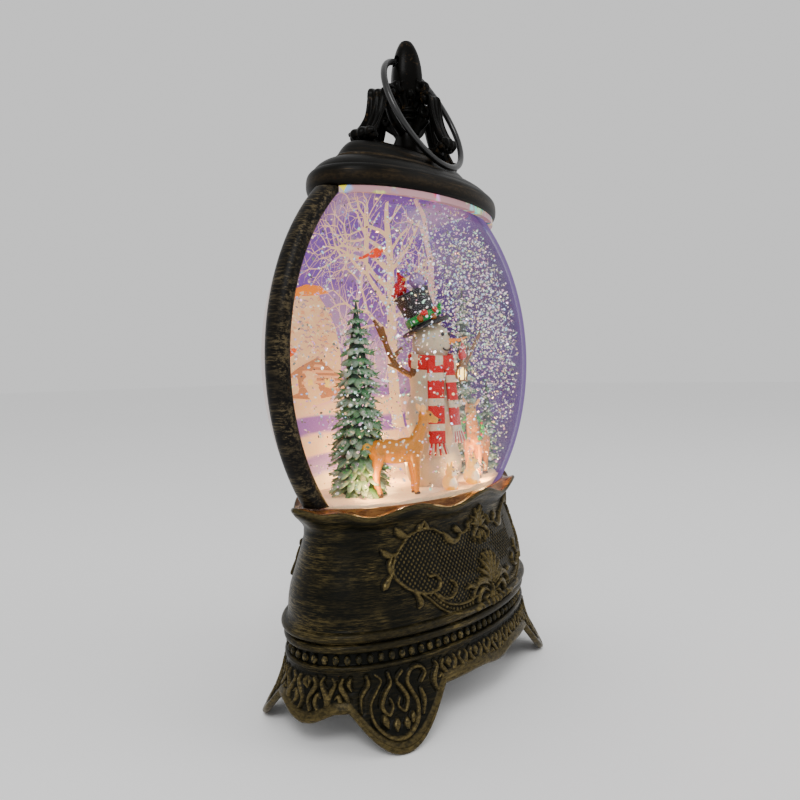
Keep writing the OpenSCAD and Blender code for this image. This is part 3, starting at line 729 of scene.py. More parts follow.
# Scrolls of one foot: across from the foot's middle, and down from the skirt's top
FOOT_SCROLLS = (
    ([(-11, 6.5), (-13.4, 3.6), (-11, 0.9), (-7, 1.4), (-5.2, 5), (-6.6, 9), (-8, 13), (-6.4, 18.5),
      (-1.5, 22.4),
      (4, 21.8), (8.6, 17), (9.6, 11), (7, 6.5), (5.2, 3.2), (7.4, 0.8)], 0.62),
    ([(-3.4, 1), (-0.8, 4), (-3, 7.4), (-4.4, 11), (-2.6, 14.6), (-0.4, 12.6), (-1.4, 10)], 0.6),
    ([(2.2, 1), (1.6, 4.6), (4, 8), (5.6, 12), (3.6, 15), (1.6, 12.6), (2.2, 10)], 0.6),
    ([(10.4, 1.2), (10, 4), (12.6, 8), (12.8, 13)], 0.55),
    ([(-10.6, 9), (-11, 12.6), (-9.4, 17)], 0.6),
    ([(-2.6, 17.4), (-2.4, 20)], 0.95),
    ([(1, 17), (1.6, 20)], 0.95),
    ([(5.4, 15.4), (4.6, 18.6)], 0.9),
    ([(-5.4, 15.8), (-4.6, 18.6)], 0.7),
)
# Scrolls between the feet, as one group that repeats
RUN_SCROLLS = (
    ([(-3.4, 11.4), (-4.3, 8), (-3.2, 5), (-1.8, 2.6), (-2.8, 0.7)], 0.72),
    ([(-1.1, 10.6), (0.3, 8.4), (-0.5, 6), (-1.8, 6.9)], 0.6),
    ([(1.2, 1.0), (0.4, 3.2), (1.8, 5.4), (3.3, 8), (2.2, 11)], 0.72),
    ([(4.2, 1.2), (3.5, 2.8), (4.5, 4.6)], 0.6),
)


def skirt_scrolls(relief):
    """Flame-like scrolls on the skirt: one set on each foot, and a run between the feet."""
    ridge = dict(tall=1.25, groove=0.5, gold=0.85)
    foot_s = np.interp(-np.pi / 2 - np.radians(FOOT_AT), PLAN_T, PLAN_S) - QUARTER
    for path, width in FOOT_SCROLLS:
        line = spline([(foot_s - x, SKIRT_TOP - 0.6 - drop) for x, drop in path], 12)
        relief.both(line, taper(len(line), 1.5 * width, start=0.55, end=0.4), **ridge)

    def group(middle, flip, wide, top, tall):
        for path, width in RUN_SCROLLS:
            line = spline([(middle + flip * x * wide, top - drop * tall) for x, drop in path], 10)
            relief.both(line, taper(len(line), 1.5 * width, start=0.55, end=0.4), **ridge)

    between, beyond = abs(foot_s) - 17, abs(foot_s) + 16
    for k in range(5):
        group((k + 0.5) * between / 5, 1 if k % 2 else -1, 1, SKIRT_TOP - 0.6, 1)
    for k in range(2):
        group(beyond + (k + 0.5) * (QUARTER - beyond) / 2, 1 if k % 2 else -1, 0.9, SKIRT_TOP - 0.8,
              1.15)


# ------------------------------------------------------------------ base shells


def base_columns(count):
    s = np.linspace(-QUARTER, QUARTER, count)
    return s, angle_at(s)


def base_rows(t):
    """Rows down the outside and back up the inside, as d and z grids and their kinds."""
    u = from_front(t)
    lh, lo, seat = lip_height(u), lip_out(u), seat_out(t)
    ze, de = skirt_edge(u), skirt_out(u)
    d, z, kind = [], [], []

    def row(dd, zz, what):
        d.append(np.broadcast_to(dd, u.shape).astype(float))
        z.append(np.broadcast_to(zz, u.shape).astype(float))
        kind.append(what)

    for f in np.linspace(0, 1, 9):
        sag = 0.5 * np.sin(np.pi * f)
        row(seat + (lo - 1.0 - seat) * f, SEAT_Z + (lh + 1.25 - SEAT_Z) * ease(f) - sag, LEDGE)
    for a in np.radians(np.linspace(75, -75, 8)):
        row(lo - 1.0 + 1.0 * np.cos(a), lh + 0.3 + 1.0 * np.sin(a), RIM)
    start_d, start_z = lo - 0.8, lh - 0.75
    for f in np.linspace(0.06, 1, 16):
        row(start_d + (-9.85 - start_d) * ease(f) ** 0.8, start_z + (BODY_TOP - start_z) * f,
            SHOULDER)
    body_z = np.arange(BODY_TOP - 0.34, BODY_LOW, -0.34)
    order = BODY_PROFILE[::-1]
    for h in body_z:
        row(np.interp(h, order[:, 1], order[:, 0]), h, PANEL)
    for dd, hh in np.vstack([arc(-1.75, 42.1, 1.7, 100, -100, 16),
                             arc(-2.75, 37.7, 1.7, 100, -100, 16)]):
        row(dd, hh, MOULDING)
    for dd, hh in ((-3.3, 35.6), (-3.5, 35.2), (-3.5, 34), (-3.5, 32.4), (-3.5, 31.6),
                   (-3.1, 31.2)):
        row(dd, hh, CHANNEL)
    for dd, hh in arc(-2.2, 30.3, 0.9, 90, -90, 8):
        row(dd, hh, MOULDING)
    for f in np.linspace(0.0, 1, 96):
        drop = ze + 1.4 - SKIRT_TOP
        row(-1.9 + (de + 1.9) * f ** 1.7, SKIRT_TOP + drop * f, SKIRT)
    for a in np.radians(np.linspace(60, -180, 16)):
        row(de - 1.0 + 1.45 * np.cos(a), ze + 1.45 + 1.45 * np.sin(a), EDGE)
    for f in (0.85, 0.6, 0.3):
        row(-1.9 + (de + 1.9) * f ** 1.7 - WALL, SKIRT_TOP + (ze - SKIRT_TOP) * f, INSIDE)
    inner = ((-2.0 - WALL, SKIRT_TOP), (-3.6 - WALL, 37), (-3.0 - WALL, 46), (-5.4 - WALL, 61),
             (-8.0 - WALL, 69),
             (-9.8 - WALL, 76), (-9.9 - WALL, 82))
    for dd, hh in inner:
        row(dd, hh, INSIDE)
    row(seat, SEAT_Z - 2.8, INSIDE)
    return np.array(d), np.array(z), np.array(kind)


def base_shell(name, node, rear, materials):
    columns = 620
    s, t = base_columns(columns)
    u = from_front(t)
    d, z, kind = base_rows(t)
    relief = Relief(np.broadcast_to(s, d.shape).copy(), z.copy())
    outer = np.isin(kind, (SHOULDER, PANEL, SKIRT))
    cartouche(relief)
    skirt_scrolls(relief)
    body = np.isin(kind, (SHOULDER, PANEL))[:, None] & (relief.z > 38.6)
    skirt = (kind == SKIRT)[:, None]
    lift = np.where(outer[:, None] & (body | skirt), relief.height, 0)
    # the shell at the panel's foot stands over the mouldings
    over = (kind == MOULDING)[:, None] & (relief.z > 38.0) & (relief.height > 0)
    lift = np.where(over, np.maximum(0, relief.height - 0.9), lift)
    edge_fade = np.clip((QUARTER - np.abs(s)) / 1.2, 0, 1)
    lift = lift * edge_fade[None, :]
    raised = np.where(body | skirt | over, relief.raised, 0)
    shade = np.where(body | skirt, relief.shade, 0)
    # mouldings, rims and the flange catch the brush
    torus = (kind == MOULDING)[:, None] * np.clip((d + 2.4) / 2.0, 0, 1)
    raised = np.maximum(raised, 0.22 * torus)
    raised = np.maximum(raised, np.where((kind == EDGE)[:, None] & (z > 0.2), 0.7, 0))
    raised = np.maximum(raised, np.where((kind == RIM)[:, None], 0.5, 0))
    shade = np.maximum(shade, np.where((kind == CHANNEL)[:, None], 1.0, 0))
    shade = np.maximum(shade, np.where((kind == SKIRT)[:, None] & (raised < 0.2), 0.75, 0))
    # plain rolled border above the skirt's edge
    above_edge = z - skirt_edge(u)[None, :]
    border = (kind == SKIRT)[:, None] * ease((4.8 - above_edge) / 0.7)
    lift = lift * (1 - border) + 0.55 * border * np.sin(np.pi * np.clip(above_edge / 4.8, 0, 1))
    raised = raised * (1 - border) + 0.5 * border
    shade = shade * (1 - border)
    tt = np.broadcast_to(t, d.shape)
    if rear:
        tt = -tt
    pts = base_point(tt, d + lift, z)
    pts[..., 2] = np.maximum(pts[..., 2], 0.0)
    rows = len(d)
    faces = grid_faces(rows, columns, closed_rows=True)
    if not rear:
        faces = faces[:, ::-1]
    slots = np.repeat((kind == LEDGE).astype(int), columns - 1)
    # each end is closed by a face of its own, so that it keeps a sharp edge
    points = np.vstack([pts.reshape(-1, 3), pts[:, 0], pts[:, -1]])
    first = rows * columns + np.arange(rows)
    ends = [tuple(first), tuple((first + rows)[::-1])]
    if not rear:
        ends = [e[::-1] for e in ends]
    faces = [tuple(f) for f in faces] + ends
    still = np.zeros(2 * rows)
    make_piece(name, points, faces, materials, slot="bronze", replaces=(node,),
               attributes={"raised": np.concatenate([raised.ravel(), still]),
                           "shade": np.concatenate([shade.ravel(), still])},
               face_materials=np.concatenate([slots, [0, 0]]))


def bead_row(name, rear, material):
    """Row of upright beads in the channel under the mouldings."""
    count = 42
    batch = Batch()
    for k in range(count):
        s = -QUARTER + (k + 0.5) * 2 * QUARTER / count
        t = float(angle_at(s))
        if rear:
            t = -t
        n = outward(np.array(t))
        side = np.array([-n[1], n[0]])
        turn = np.array([[n[0], side[0], 0], [n[1], side[1], 0], [0, 0, 1]])
        centre = base_point(np.array(t), BEAD_OUT - 0.25, BEAD_Z)
        pts, faces = ball(centre, (1.3, 1.25, 1.75), 16, 10, turn)
        out = (pts[:, :2] - centre[:2]) @ n
        batch.add(pts, faces, np.stack([ease((out - 0.2) / 0.8)] * 3, 1))
    return batch.build(name, material, slot="bronze")


base_paint = bronze("base_paint", (0.28, 0.28, 4.2), (0.0028, 0.003, 0.0018), (0.145, 0.108, 0.04),
                    amount=0.02,
                    has_relief=True, rough=0.36)
# The ledge's copper-orange is partly its own copper-brown paint and partly painted warm light from
# the lamp inside.
ledge_copper_and_lamp_light = bronze("ledge_copper_and_lamp_light", (0.3, 0.3, 1.2), (0.075, 0.028, 0.009), (0.38, 0.18, 0.055),
                     amount=0.05, rough=0.26)
bead_paint = bronze("bead_paint", (0.5, 0.5, 0.9), (0.012, 0.011, 0.006), (0.24, 0.18, 0.07),
                    amount=0.03, rough=0.3)

for side, is_rear in (("front", False), ("rear", True)):
    base_shell("base_" + side, f"base_{side}_shell", is_rear, [base_paint, ledge_copper_and_lamp_light])
    bead_row("beads_" + side, is_rear, bead_paint)

# ------------------------------------------------------------------ globe


def globe_part(z, r):
    """Share of the full width that is left at height z."""
    return np.sqrt(np.clip(1 - ((z - GLOBE_Z) / r) ** 2, 0, 1))


def dome(name, node, rear, material):
    """One clear half of the globe, as a thin closed wall."""
    rings, seg, wall = 72, 200, 0.5
    f = np.linspace(0, 1, rings) ** 0.8
    a = np.linspace(0, 2 * np.pi, seg, endpoint=False)
    ff, aa = np.meshgrid(f, a, indexing="ij")
    walls = []
    for r, half in ((GLOBE_R, GLOBE_HALF), (GLOBE_R - wall, GLOBE_HALF - wall)):
        polar = ff * np.pi / 2
        x = r * np.sin(polar) * np.cos(aa)
        z = GLOBE_Z + r * np.sin(polar) * np.sin(aa)
        y = half * np.cos(polar)
        # the foot of the dome ends in a flat cut
        z = np.maximum(z, DOME_CUT_Z)
        walls.append(np.stack([x, y if rear else -y, z], -1))
    pts = np.vstack([w.reshape(-1, 3) for w in walls])
    quads = grid_faces(rings, seg, closed_cols=True)
    outer = quads if rear else quads[:, ::-1]
    inner = (quads[:, ::-1] if rear else quads) + rings * seg
    last = (rings - 1) * seg + np.arange(seg)
    after = (rings - 1) * seg + (np.arange(seg) + 1) % seg
    edge = np.stack([last, last + rings * seg, after + rings * seg, after], -1)
    edge = edge if rear else edge[:, ::-1]
    faces = np.vstack([outer, inner, edge])
    return make_piece(name, pts, faces, material, slot="clear_plastic", replaces=(node,))


dome("globe_front", "globe_front_shell", False,
     pane("front_wall", (0.985, 0.985, 0.99), (0.2, 0.12, 0.34), 0.7))
dome("globe_back", "globe_back_shell", True,
     pane("back_wall", (0.985, 0.985, 0.985), (0.8, 0.7, 0.68), 0.62))


def rim_band(name, node, left, material):
    """Half of the band over the globe's seam, from the base's lip to the cap."""
    half = BAND_HALF
    section = np.vstack([[[GLOBE_R + 0.1, -half + 1.2], [GLOBE_R + 0.4, -half + 0.3]],
                         [[GLOBE_R + 1.2, -half], [BAND_R - 3.4, -half]],
                         spline([(BAND_R - 3.0, -half + 0.05), (BAND_R - 2.1, -half + 0.5),
                                 (BAND_R - 1.0, -half + 1.7),
                                 (BAND_R - 0.25, -half + 3.2), (BAND_R, 0),
                                 (BAND_R - 0.25, half - 3.2),
                                 (BAND_R - 1.0, half - 1.7), (BAND_R - 2.1, half - 0.5),
                                 (BAND_R - 3.0, half - 0.05)], 6),
                         [[BAND_R - 3.4, half], [GLOBE_R + 1.2, half]],
                         [[GLOBE_R + 0.4, half - 0.3], [GLOBE_R + 0.1, half - 1.2]]])
    steps = 200
    f = np.linspace(0, 1, steps)
    low = np.arcsin((BAND_LOW_Z - GLOBE_Z) / section[:, 0])
    high = np.arcsin((BAND_HIGH_Z - GLOBE_Z) / section[:, 0])
    angle = low[None] + (high - low)[None] * f[:, None]
    x = section[None, :, 0] * np.cos(angle) * (-1 if left else 1)
    z = GLOBE_Z + section[None, :, 0] * np.sin(angle)
    pts = np.stack([x, np.broadcast_to(section[None, :, 1], x.shape), z], -1)
    cols = len(section)
    faces = grid_faces(steps, cols, closed_cols=True)
    if not left:
        faces = faces[:, ::-1]
    first, last = tuple(range(cols)), tuple(range((steps - 1) * cols, steps * cols))
    faces = [tuple(q) for q in faces] + ([first[::-1], last] if left else [first, last[::-1]])
    return make_piece(name, pts.reshape(-1, 3), faces, material, slot="band_bronze",
                      replaces=(node,))


band_paint = bronze("band_paint", (1.1, 0.12, 1.5), (0.004, 0.0035, 0.003), (0.15, 0.115, 0.06),
                    amount=0.01, rough=0.34)
rim_band("band_left", "left_rim_band", True, band_paint)
rim_band("band_right", "right_rim_band", False, band_paint)

# ------------------------------------------------------------------ cap

CAP_SECTION = [(24, CROWN_Z - 2.4), (14.5, 229), (9.5, 225.6), (4.5, 221.5), (2.6, 218),
               (2.4, 213.8), (1.4, 213.6),
               (0.5, 213.9), (-0.1, 214.8), (-0.45, 216.2), (-0.5, 217.8), (-0.35, 219.4),
               (0.1, 220.8), (0.9, 221.8),
               (1.6, 222.3), (2.0, 222.5), (2.9, 223.6), (4.4, 225), (6.6, 226.4), (9, 227.4),
               (11, 228),
               (11.9, 228.5), (12.2, 229.2), (12.9, 229.6), (13.6, 230.6), (15.2, 232.8),
               (17, 234.6), (18.6, 235.6),
               (21, CROWN_Z)]


def cap_shell(material):
    seg = 220
    profile = spline(CAP_SECTION, 4)
    a = np.linspace(0, 2 * np.pi, seg, endpoint=False)
    x = (CAP_A - profile[:, 0])[:, None] * np.cos(a)
    y = (CAP_B - profile[:, 0])[:, None] * np.sin(a)
    z = np.repeat(profile[:, 1][:, None], seg, 1)
    pts = np.stack([x, y, z], -1).reshape(-1, 3)
    faces = [tuple(q) for q in grid_faces(len(profile), seg, closed_cols=True)]
    last = (len(profile) - 1) * seg
    faces += [tuple(range(seg))[::-1], tuple(range(last, last + seg))]
    height = profile[:, 1]
    glint = (0.6 * np.exp(-((height - 228.9) / 0.6) ** 2)
             + 0.3 * np.exp(-((height - 217.4) / 1.6) ** 2))
    glint[:len(profile) // 5] = 0
    raised = np.repeat(np.clip(glint, 0, 1), seg)
    make_piece("cap", pts, faces, material, slot="cap_bronze", replaces=("top_cap",),
               attributes={"raised": raised, "shade": np.zeros(len(raised))})


cap_paint = bronze("cap_paint", (0.07, 0.07, 1.3), (0.0028, 0.0026, 0.002), (0.085, 0.055, 0.025),
                   amount=-0.05,
                   has_relief=True, rough=0.38)
cap_shell(cap_paint)

# ------------------------------------------------------------------ finial and ring

finial_paint = bronze("finial_paint", (0.35, 0.35, 0.35), (0.002, 0.0018, 0.0014),
                      (0.17, 0.1, 0.04), amount=-0.08,
                      rough=0.3, shine=0.05)
PIVOT = np.array([0.0, 2.0, 279.5])
RING_R = 26.6
RING_WIRE = 1.4
RING_LEAN = math.radians(24.4)


def turned(points, angle):
    """Points turned about the Z axis."""
    c, s = math.cos(angle), math.sin(angle)
    return np.asarray(points) @ np.array([[c, s, 0], [-s, c, 0], [0, 0, 1]])


def bored(obj, centre, axis_turn, radius):
    """Cuts a round hole through a piece."""
    pts, faces = lathe([(radius, -40), (radius, 40)], seg=40)
    pts = pts @ np.asarray(axis_turn).T + centre
    mesh = bpy.data.meshes.new("cutter")
    mesh.from_pydata([tuple(v) for v in pts * MM], [], faces)
    cutter = bpy.data.objects.new("cutter", mesh)
    bpy.context.scene.collection.objects.link(cutter)
    cut = obj.modifiers.new("cut", "BOOLEAN")
    cut.operation = "DIFFERENCE"
    cut.solver = "EXACT"
    cut.object = cutter
    graph = bpy.context.evaluated_depsgraph_get()
    result = bpy.data.meshes.new_from_object(obj.evaluated_get(graph))
    obj.modifiers.clear()
    old = obj.data
    obj.data = result
    bpy.data.meshes.remove(old)
    bpy.data.objects.remove(cutter)
    bpy.data.meshes.remove(mesh)


def finial():
    c = CROWN_Z
    stem = spline([(12.4, c - 0.4), (12.6, c + 0.8), (11.2, c + 2.2), (8.6, c + 4.4),
                   (6.6, c + 7.6), (5.2, c + 11.4),
                   (4.5, c + 15), (4.6, c + 16.6), (5.9, c + 17.6), (5.9, c + 18.4),
                   (4.7, c + 19.3), (4.8, c + 20),
                   (6.1, c + 20.7), (6.1, c + 21.6), (4.9, c + 22.6), (5.2, c + 24)], 5)
    bud = spline([(5.2, c + 24), (6.1, c + 27), (7.1, c + 31.5), (7.6, c + 35.5), (7.5, c + 39),
                  (6.9, c + 43),
                  (5.8, c + 47), (4.3, c + 50.4), (2.6, c + 52.9), (1.1, TOTAL_H - 0.3),
                  (0.05, TOTAL_H)], 6)
    profile = np.vstack([stem, bud[1:]])
    pts, faces = lathe(profile, seg=72)
    # the bud is made of four closed petals, so its sides bulge between shallow folds
    a = np.arctan2(pts[:, 1], pts[:, 0])
    part = ease((pts[:, 2] - c - 24) / 6) * ease((TOTAL_H + 1 - pts[:, 2]) / 9)
    fold = 1 + part * (0.05 * np.cos(4 * a) - 0.05)
    pts[:, :2] *= fold[:, None]
    stem_piece = make_piece("finial_stem", pts, faces, finial_paint, slot="cap_bronze",
                            replaces=("finial",))
    bored(stem_piece, PIVOT, [[0, 0, 1], [0, 1, 0], [-1, 0, 0]], 2.6)

    leaves = Batch()
    for angle, reach, wide in ((0, 36, 1.0), (math.pi, 36, 1.0), (math.pi / 2, 22.5, 0.85),
                               (-math.pi / 2, 22.5, 0.85)):
        leaf(leaves, angle, reach, wide)
    leaves.build("finial_leaves", finial_paint, slot="cap_bronze")

    buds = Batch()
    for angle in (0, math.pi / 2, math.pi, -math.pi / 2):
        along_y = abs(math.sin(angle)) > 0.5
        curl(buds, angle, 8.6 if along_y else 7.6, c + 31.5, 4.4)
        curl(buds, angle + math.pi / 4, 6.6, c + 28.5, 3.0)
    for angle in (math.pi / 2, -math.pi / 2):
        curl(buds, angle, 10.6, c + 20.5, 4.2)
    buds.build("finial_curls", finial_paint, slot="cap_bronze")


def curl(batch, angle, out, z, size):
    """Fat leaf curl: a rolled snail shape with its axis across the spoke."""
    turn = np.linspace(0, 2.6 * np.pi, 46)
    radius = size * (0.62 - 0.5 * turn / turn[-1])
    path = np.stack([out + radius * np.cos(turn + 1.9), 0 * turn, z + radius * np.sin(turn + 1.9)],
                    -1)
    thick = size * (0.46 - 0.2 * turn / turn[-1])
    pts, faces = tube(path, thick, sides=14, side_dir=(0, 1, 0))
    centre = np.array([out, 0, z])
    pts = centre + (pts - centre) * (1, 1.5, 1)
    batch.add(turned(pts, angle), faces)
    stalk = spline([(out * 0.2, 0, z - size * 1.9), (out * 0.62, 0, z - size * 1.3),
                    (out, 0, z - size * 0.75)], 8)
    pts, faces = tube(stalk, np.linspace(size * 0.5, size * 0.34, len(stalk)), sides=12, flat=1.3,
                      side_dir=(0, 1, 0))
    batch.add(turned(pts, angle), faces)


def leaf(batch, angle, reach, wide):
    """Draped leaf that falls from a rolled bar beside the stem to a rolled end on the cap."""
    c = CROWN_Z
    side = spline([(reach * 0.3, c + 25.2), (reach * 0.45, c + 26.6), (reach * 0.58, c + 25.8),
                   (reach * 0.6, c + 22),
                   (reach * 0.66, c + 15), (reach * 0.76, c + 9), (reach * 0.88, c + 4.6),
                   (reach * 0.95, c + 2.6),
                   (reach, c + 3.4), (reach * 0.99, c + 5.4), (reach * 0.94, c + 6.2),
                   (reach * 0.915, c + 5)], 8)
    n = len(side)
    t = np.linspace(0, 1, n)
    half = wide * np.interp(t, [0, 0.12, 0.25, 0.4, 0.62, 0.8, 1], [3, 5, 5.2, 4.4, 5.4, 6.6, 6.2])
    cols = 21
    v = np.linspace(-1, 1, cols)
    along = np.gradient(side, axis=0)
    along /= np.linalg.norm(along, axis=1, keepdims=True)
    normal = np.stack([along[:, 1] * -1, along[:, 0]], -1)
    flute = 0.75 * np.cos(v * 3.2 * np.pi)[None] * np.sin(np.pi * np.clip((t - 0.1) / 0.85, 0,
                                                                          1))[:, None] \
        - 0.9 * (v ** 2)[None]
    sheets = []
    for thick in (0.75, -0.75):
        off = flute + thick
        x = side[:, 0][:, None] - normal[:, 0][:, None] * off
        z = side[:, 1][:, None] - normal[:, 1][:, None] * off
        y = half[:, None] * v[None]
        sheets.append(np.stack([x, y, z], -1))
    pts = np.vstack([s.reshape(-1, 3) for s in sheets])
    pts[:, 2] = np.clip(pts[:, 2], c - 0.2, None)
    quads = grid_faces(n, cols)
    k = n * cols
    rim = sheet_rim(n, cols)
    nxt = np.roll(rim, -1)
    edge = np.stack([rim, nxt, nxt + k, rim + k], -1)
    faces = np.vstack([quads[:, ::-1], quads + k, edge])
    batch.add(turned(pts, angle), faces)

    def rod(path, radii, sides, **more):
        p, f = tube(path, radii, sides=sides, **more)
        batch.add(turned(p, angle), f)

    def blunt(count, power):
        """Even radii with rounded ends."""
        return np.sqrt(np.clip(1 - np.linspace(-0.98, 0.98, count) ** power, 0, 1))

    # web that carries the leaf, the arm over it, and its two rolled bars
    web = spline([(3, 0, c + 3), (reach * 0.4, 0, c + 2.4), (reach * 0.8, 0, c + 1.6)], 6)
    rod(web, np.linspace(2.6, 1.6, len(web)), 10, flat=1.2, side_dir=(0, 1, 0))
    arm = spline([(3.5, 0, c + 13), (reach * 0.3, 0, c + 17), (reach * 0.42, 0, c + 23)], 8)
    rod(arm, np.linspace(2.4, 1.7, len(arm)), 10, flat=1.4, side_dir=(0, 1, 0))
    rod([(reach * 0.5, y, c + 25.2) for y in np.linspace(-5.6, 5.6, 15) * wide],
        1.9 * blunt(15, 6) + 0.1, 14)
    rod([(reach - 2.6, y, c + 3.2) for y in np.linspace(-6.8, 6.8, 17) * wide],
        2.2 * blunt(17, 4) + 0.1, 14)


finial()


def ring():
    down = np.array([0, -math.sin(RING_LEAN), -math.cos(RING_LEAN)])
    centre = PIVOT + RING_R * down
    a = np.linspace(0, 2 * np.pi, 160, endpoint=False)
    b = np.linspace(0, 2 * np.pi, 20, endpoint=False)
    aa, bb = np.meshgrid(a, b, indexing="ij")
    r = RING_R + RING_WIRE * np.cos(bb)
    across = np.array([0, math.cos(RING_LEAN), -math.sin(RING_LEAN)])
    pts = (centre + (r * np.cos(aa))[..., None] * np.array([1, 0, 0])
           + (r * np.sin(aa))[..., None] * down
           + (RING_WIRE * np.sin(bb))[..., None] * across).reshape(-1, 3)
    faces = grid_faces(160, 20, closed_rows=True, closed_cols=True)
    material = plain("ring_black", (0.006, 0.006, 0.006), rough=0.35, metallic=0.3, Coat_Weight=0.2)
    make_piece("ring", pts, faces, material, body="ring", slot="ring_steel",
               replaces=("ring_handle",))


ring()

# ------------------------------------------------------------------ film behind the scene

FILM_R = GLOBE_R - 1.2
FILM_HALF = GLOBE_HALF - 1.2
FILM_WRAP = math.radians(126)


def film_reach(z):
    """Share of the film's full width at height z."""
    return np.sqrt(np.clip(1 - ((z - GLOBE_Z) / FILM_R) ** 2, 0, 1))


def film_y(x, z, lift=0.0):
    """Front of the film's rear part at x and z. Lift brings a printed layer in front of it."""
    out = (x ** 2 + (z - GLOBE_Z) ** 2) / FILM_R ** 2
    return (FILM_HALF - 0.6 - lift) * np.sqrt(np.clip(1 - out, 0, 1))


def film(material_front, material_back):
    """Printed film across the rear and round the right end, with a plain back."""
    nx, nz = 190, 130
    z = np.linspace(GROUND_Z + 0.4, GLOBE_Z + FILM_R - 3.5, nz)
    angle = np.linspace(-np.pi / 2, FILM_WRAP, nx)
    zz, aa = np.meshgrid(z, angle, indexing="ij")
    reach = film_reach(zz)
    sheets = [np.stack([(FILM_R - 0.5 + out) * reach * np.sin(aa),
                        (FILM_HALF - 0.6 + out) * reach * np.cos(aa), zz],
                       -1).reshape(-1, 3) for out in (0, 0.5)]
    quads = grid_faces(nz, nx)
    k = nx * nz
    rim = sheet_rim(nz, nx)
    nxt = np.roll(rim, -1)
    edge = np.stack([nxt, rim, rim + k, nxt + k], -1)
    faces = np.vstack([quads, quads[:, ::-1] + k, edge])
    # the end that wraps forward is printed on both faces
    plain_back = np.tile(angle[:-1] < np.pi / 2, nz - 1)
    slots = np.concatenate([np.zeros(len(quads)), plain_back, np.zeros(len(edge))]).astype(int)
    across = np.where(aa > np.pi / 2, 2 - np.sin(aa), np.sin(aa)) * FILM_R * reach
    make_piece("film", np.vstack(sheets), faces, [material_front, material_back], slot="film_print",
               replaces=("scenic_film",), face_materials=slots,
               attributes={"paint": np.tile(sky_colour(across.ravel(), zz.ravel()), (2, 1))})


def sky_colour(x, z):
    """Printed background: dusk sky over banks of snow, and deep violet to the right."""
    high = ease((z - 128) / 60)[:, None]
    right = ease((x - 30) / 42)[:, None]
    sky = (1 - high) * np.array([0.52, 0.36, 0.56]) + high * np.array([0.21, 0.125, 0.4])
    cloud = 0.5 + 0.5 * np.sin(x * 0.11 + 1.7 * np.sin(z * 0.07)) * np.sin(z * 0.13 + 1.3)
    cloud = ease((cloud - 0.45) / 0.4)[:, None] * 0.35
    sky = sky * (1 - cloud) + cloud * np.array([0.7, 0.5, 0.56])
    bank = 133 + 3 * np.sin(x * 0.09) + 0.06 * x
    snow = ease((bank - z) / 4)[:, None]
    stripes = ease((np.cos((z - 99) * 0.36 + 0.5 * np.sin(x * 0.06)) + 0.15) / 0.5)[:, None]
    ground = (1 - stripes) * np.array([0.86, 0.62, 0.44]) + stripes * np.array([0.27, 0.17, 0.44])
    picture = sky * (1 - snow) + ground * snow
    dark = np.array([0.085, 0.04, 0.19]) * (0.8 + 0.5 * cloud)
    return picture * (1 - right) + dark * right


class Print(Batch):
    """Flat coloured shapes laid on the film."""

    def stroke(self, points, width, colour, lift=0.35):
        path = spline(points, 6)
        n = len(path)
        w = np.interp(np.linspace(0, 1, n), np.linspace(0, 1, len(np.atleast_1d(width))),
                      np.atleast_1d(width)) / 2
        along = np.gradient(path, axis=0)
        along /= np.linalg.norm(along, axis=1, keepdims=True) + 1e-9
        side = np.stack([-along[:, 1], along[:, 0]], -1)
        edge = np.vstack([path + side * w[:, None], path - side * w[:, None]])
        self.sheet(edge, [(i, i + 1, n + i + 1, n + i) for i in range(n - 1)], colour, lift)

    def patch(self, points, colour, lift=0.3):
        outline = np.asarray(points, dtype=float)
        centre = outline.mean(0)
        rings = np.vstack([centre + (outline - centre) * f for f in (1.0, 0.66,
                                                                     0.33)] + [centre[None]])
        n = len(outline)
        faces = [(r * n + i, r * n + (i + 1) % n, (r + 1) * n + (i + 1) % n, (r + 1) * n + i)
                 for r in range(2) for i in range(n)]
        faces += [(2 * n + i, 2 * n + (i + 1) % n, 3 * n) for i in range(n)]
        self.sheet(rings, faces, colour, lift)

    def sheet(self, flat, faces, colour, lift):
        x, z = flat[:, 0], flat[:, 1]
        self.add(np.stack([x, film_y(x, z, lift), z], -1), faces, colour)


CREAM = (0.9, 0.66, 0.44)
PINK = (0.76, 0.52, 0.46)


def tree_branches(layer, start, heading, length, width, depth, colour, chance):
    """Bare branches that fork until they are thin."""
    bend = chance.uniform(-0.25, 0.25)
    a, b = heading, heading + bend
    mid = (start[0] + math.sin(a) * length * 0.5, start[1] + math.cos(a) * length * 0.5)
    end = (mid[0] + math.sin(b) * length * 0.5, mid[1] + math.cos(b) * length * 0.5)
    r = math.hypot(end[0], end[1] - GLOBE_Z)
    if r > FILM_R - 6:
        return
    layer.stroke([start, mid, end], (width, width * 0.8, width * 0.6), colour,
                 lift=0.35 + 0.03 * depth)
    if depth == 0:
        return
    for side in (-1, 1):
        tree_branches(layer, end, b + side * chance.uniform(0.25, 0.6),
                      length * chance.uniform(0.66, 0.84), width * 0.58,
                      depth - 1, colour, chance)
    if depth > 1 and chance.random() < 0.6:
        tree_branches(layer, mid, a + chance.choice((-1, 1)) * chance.uniform(0.6, 0.95),
                      length * 0.6, width * 0.42,
                      depth - 2, colour, chance)


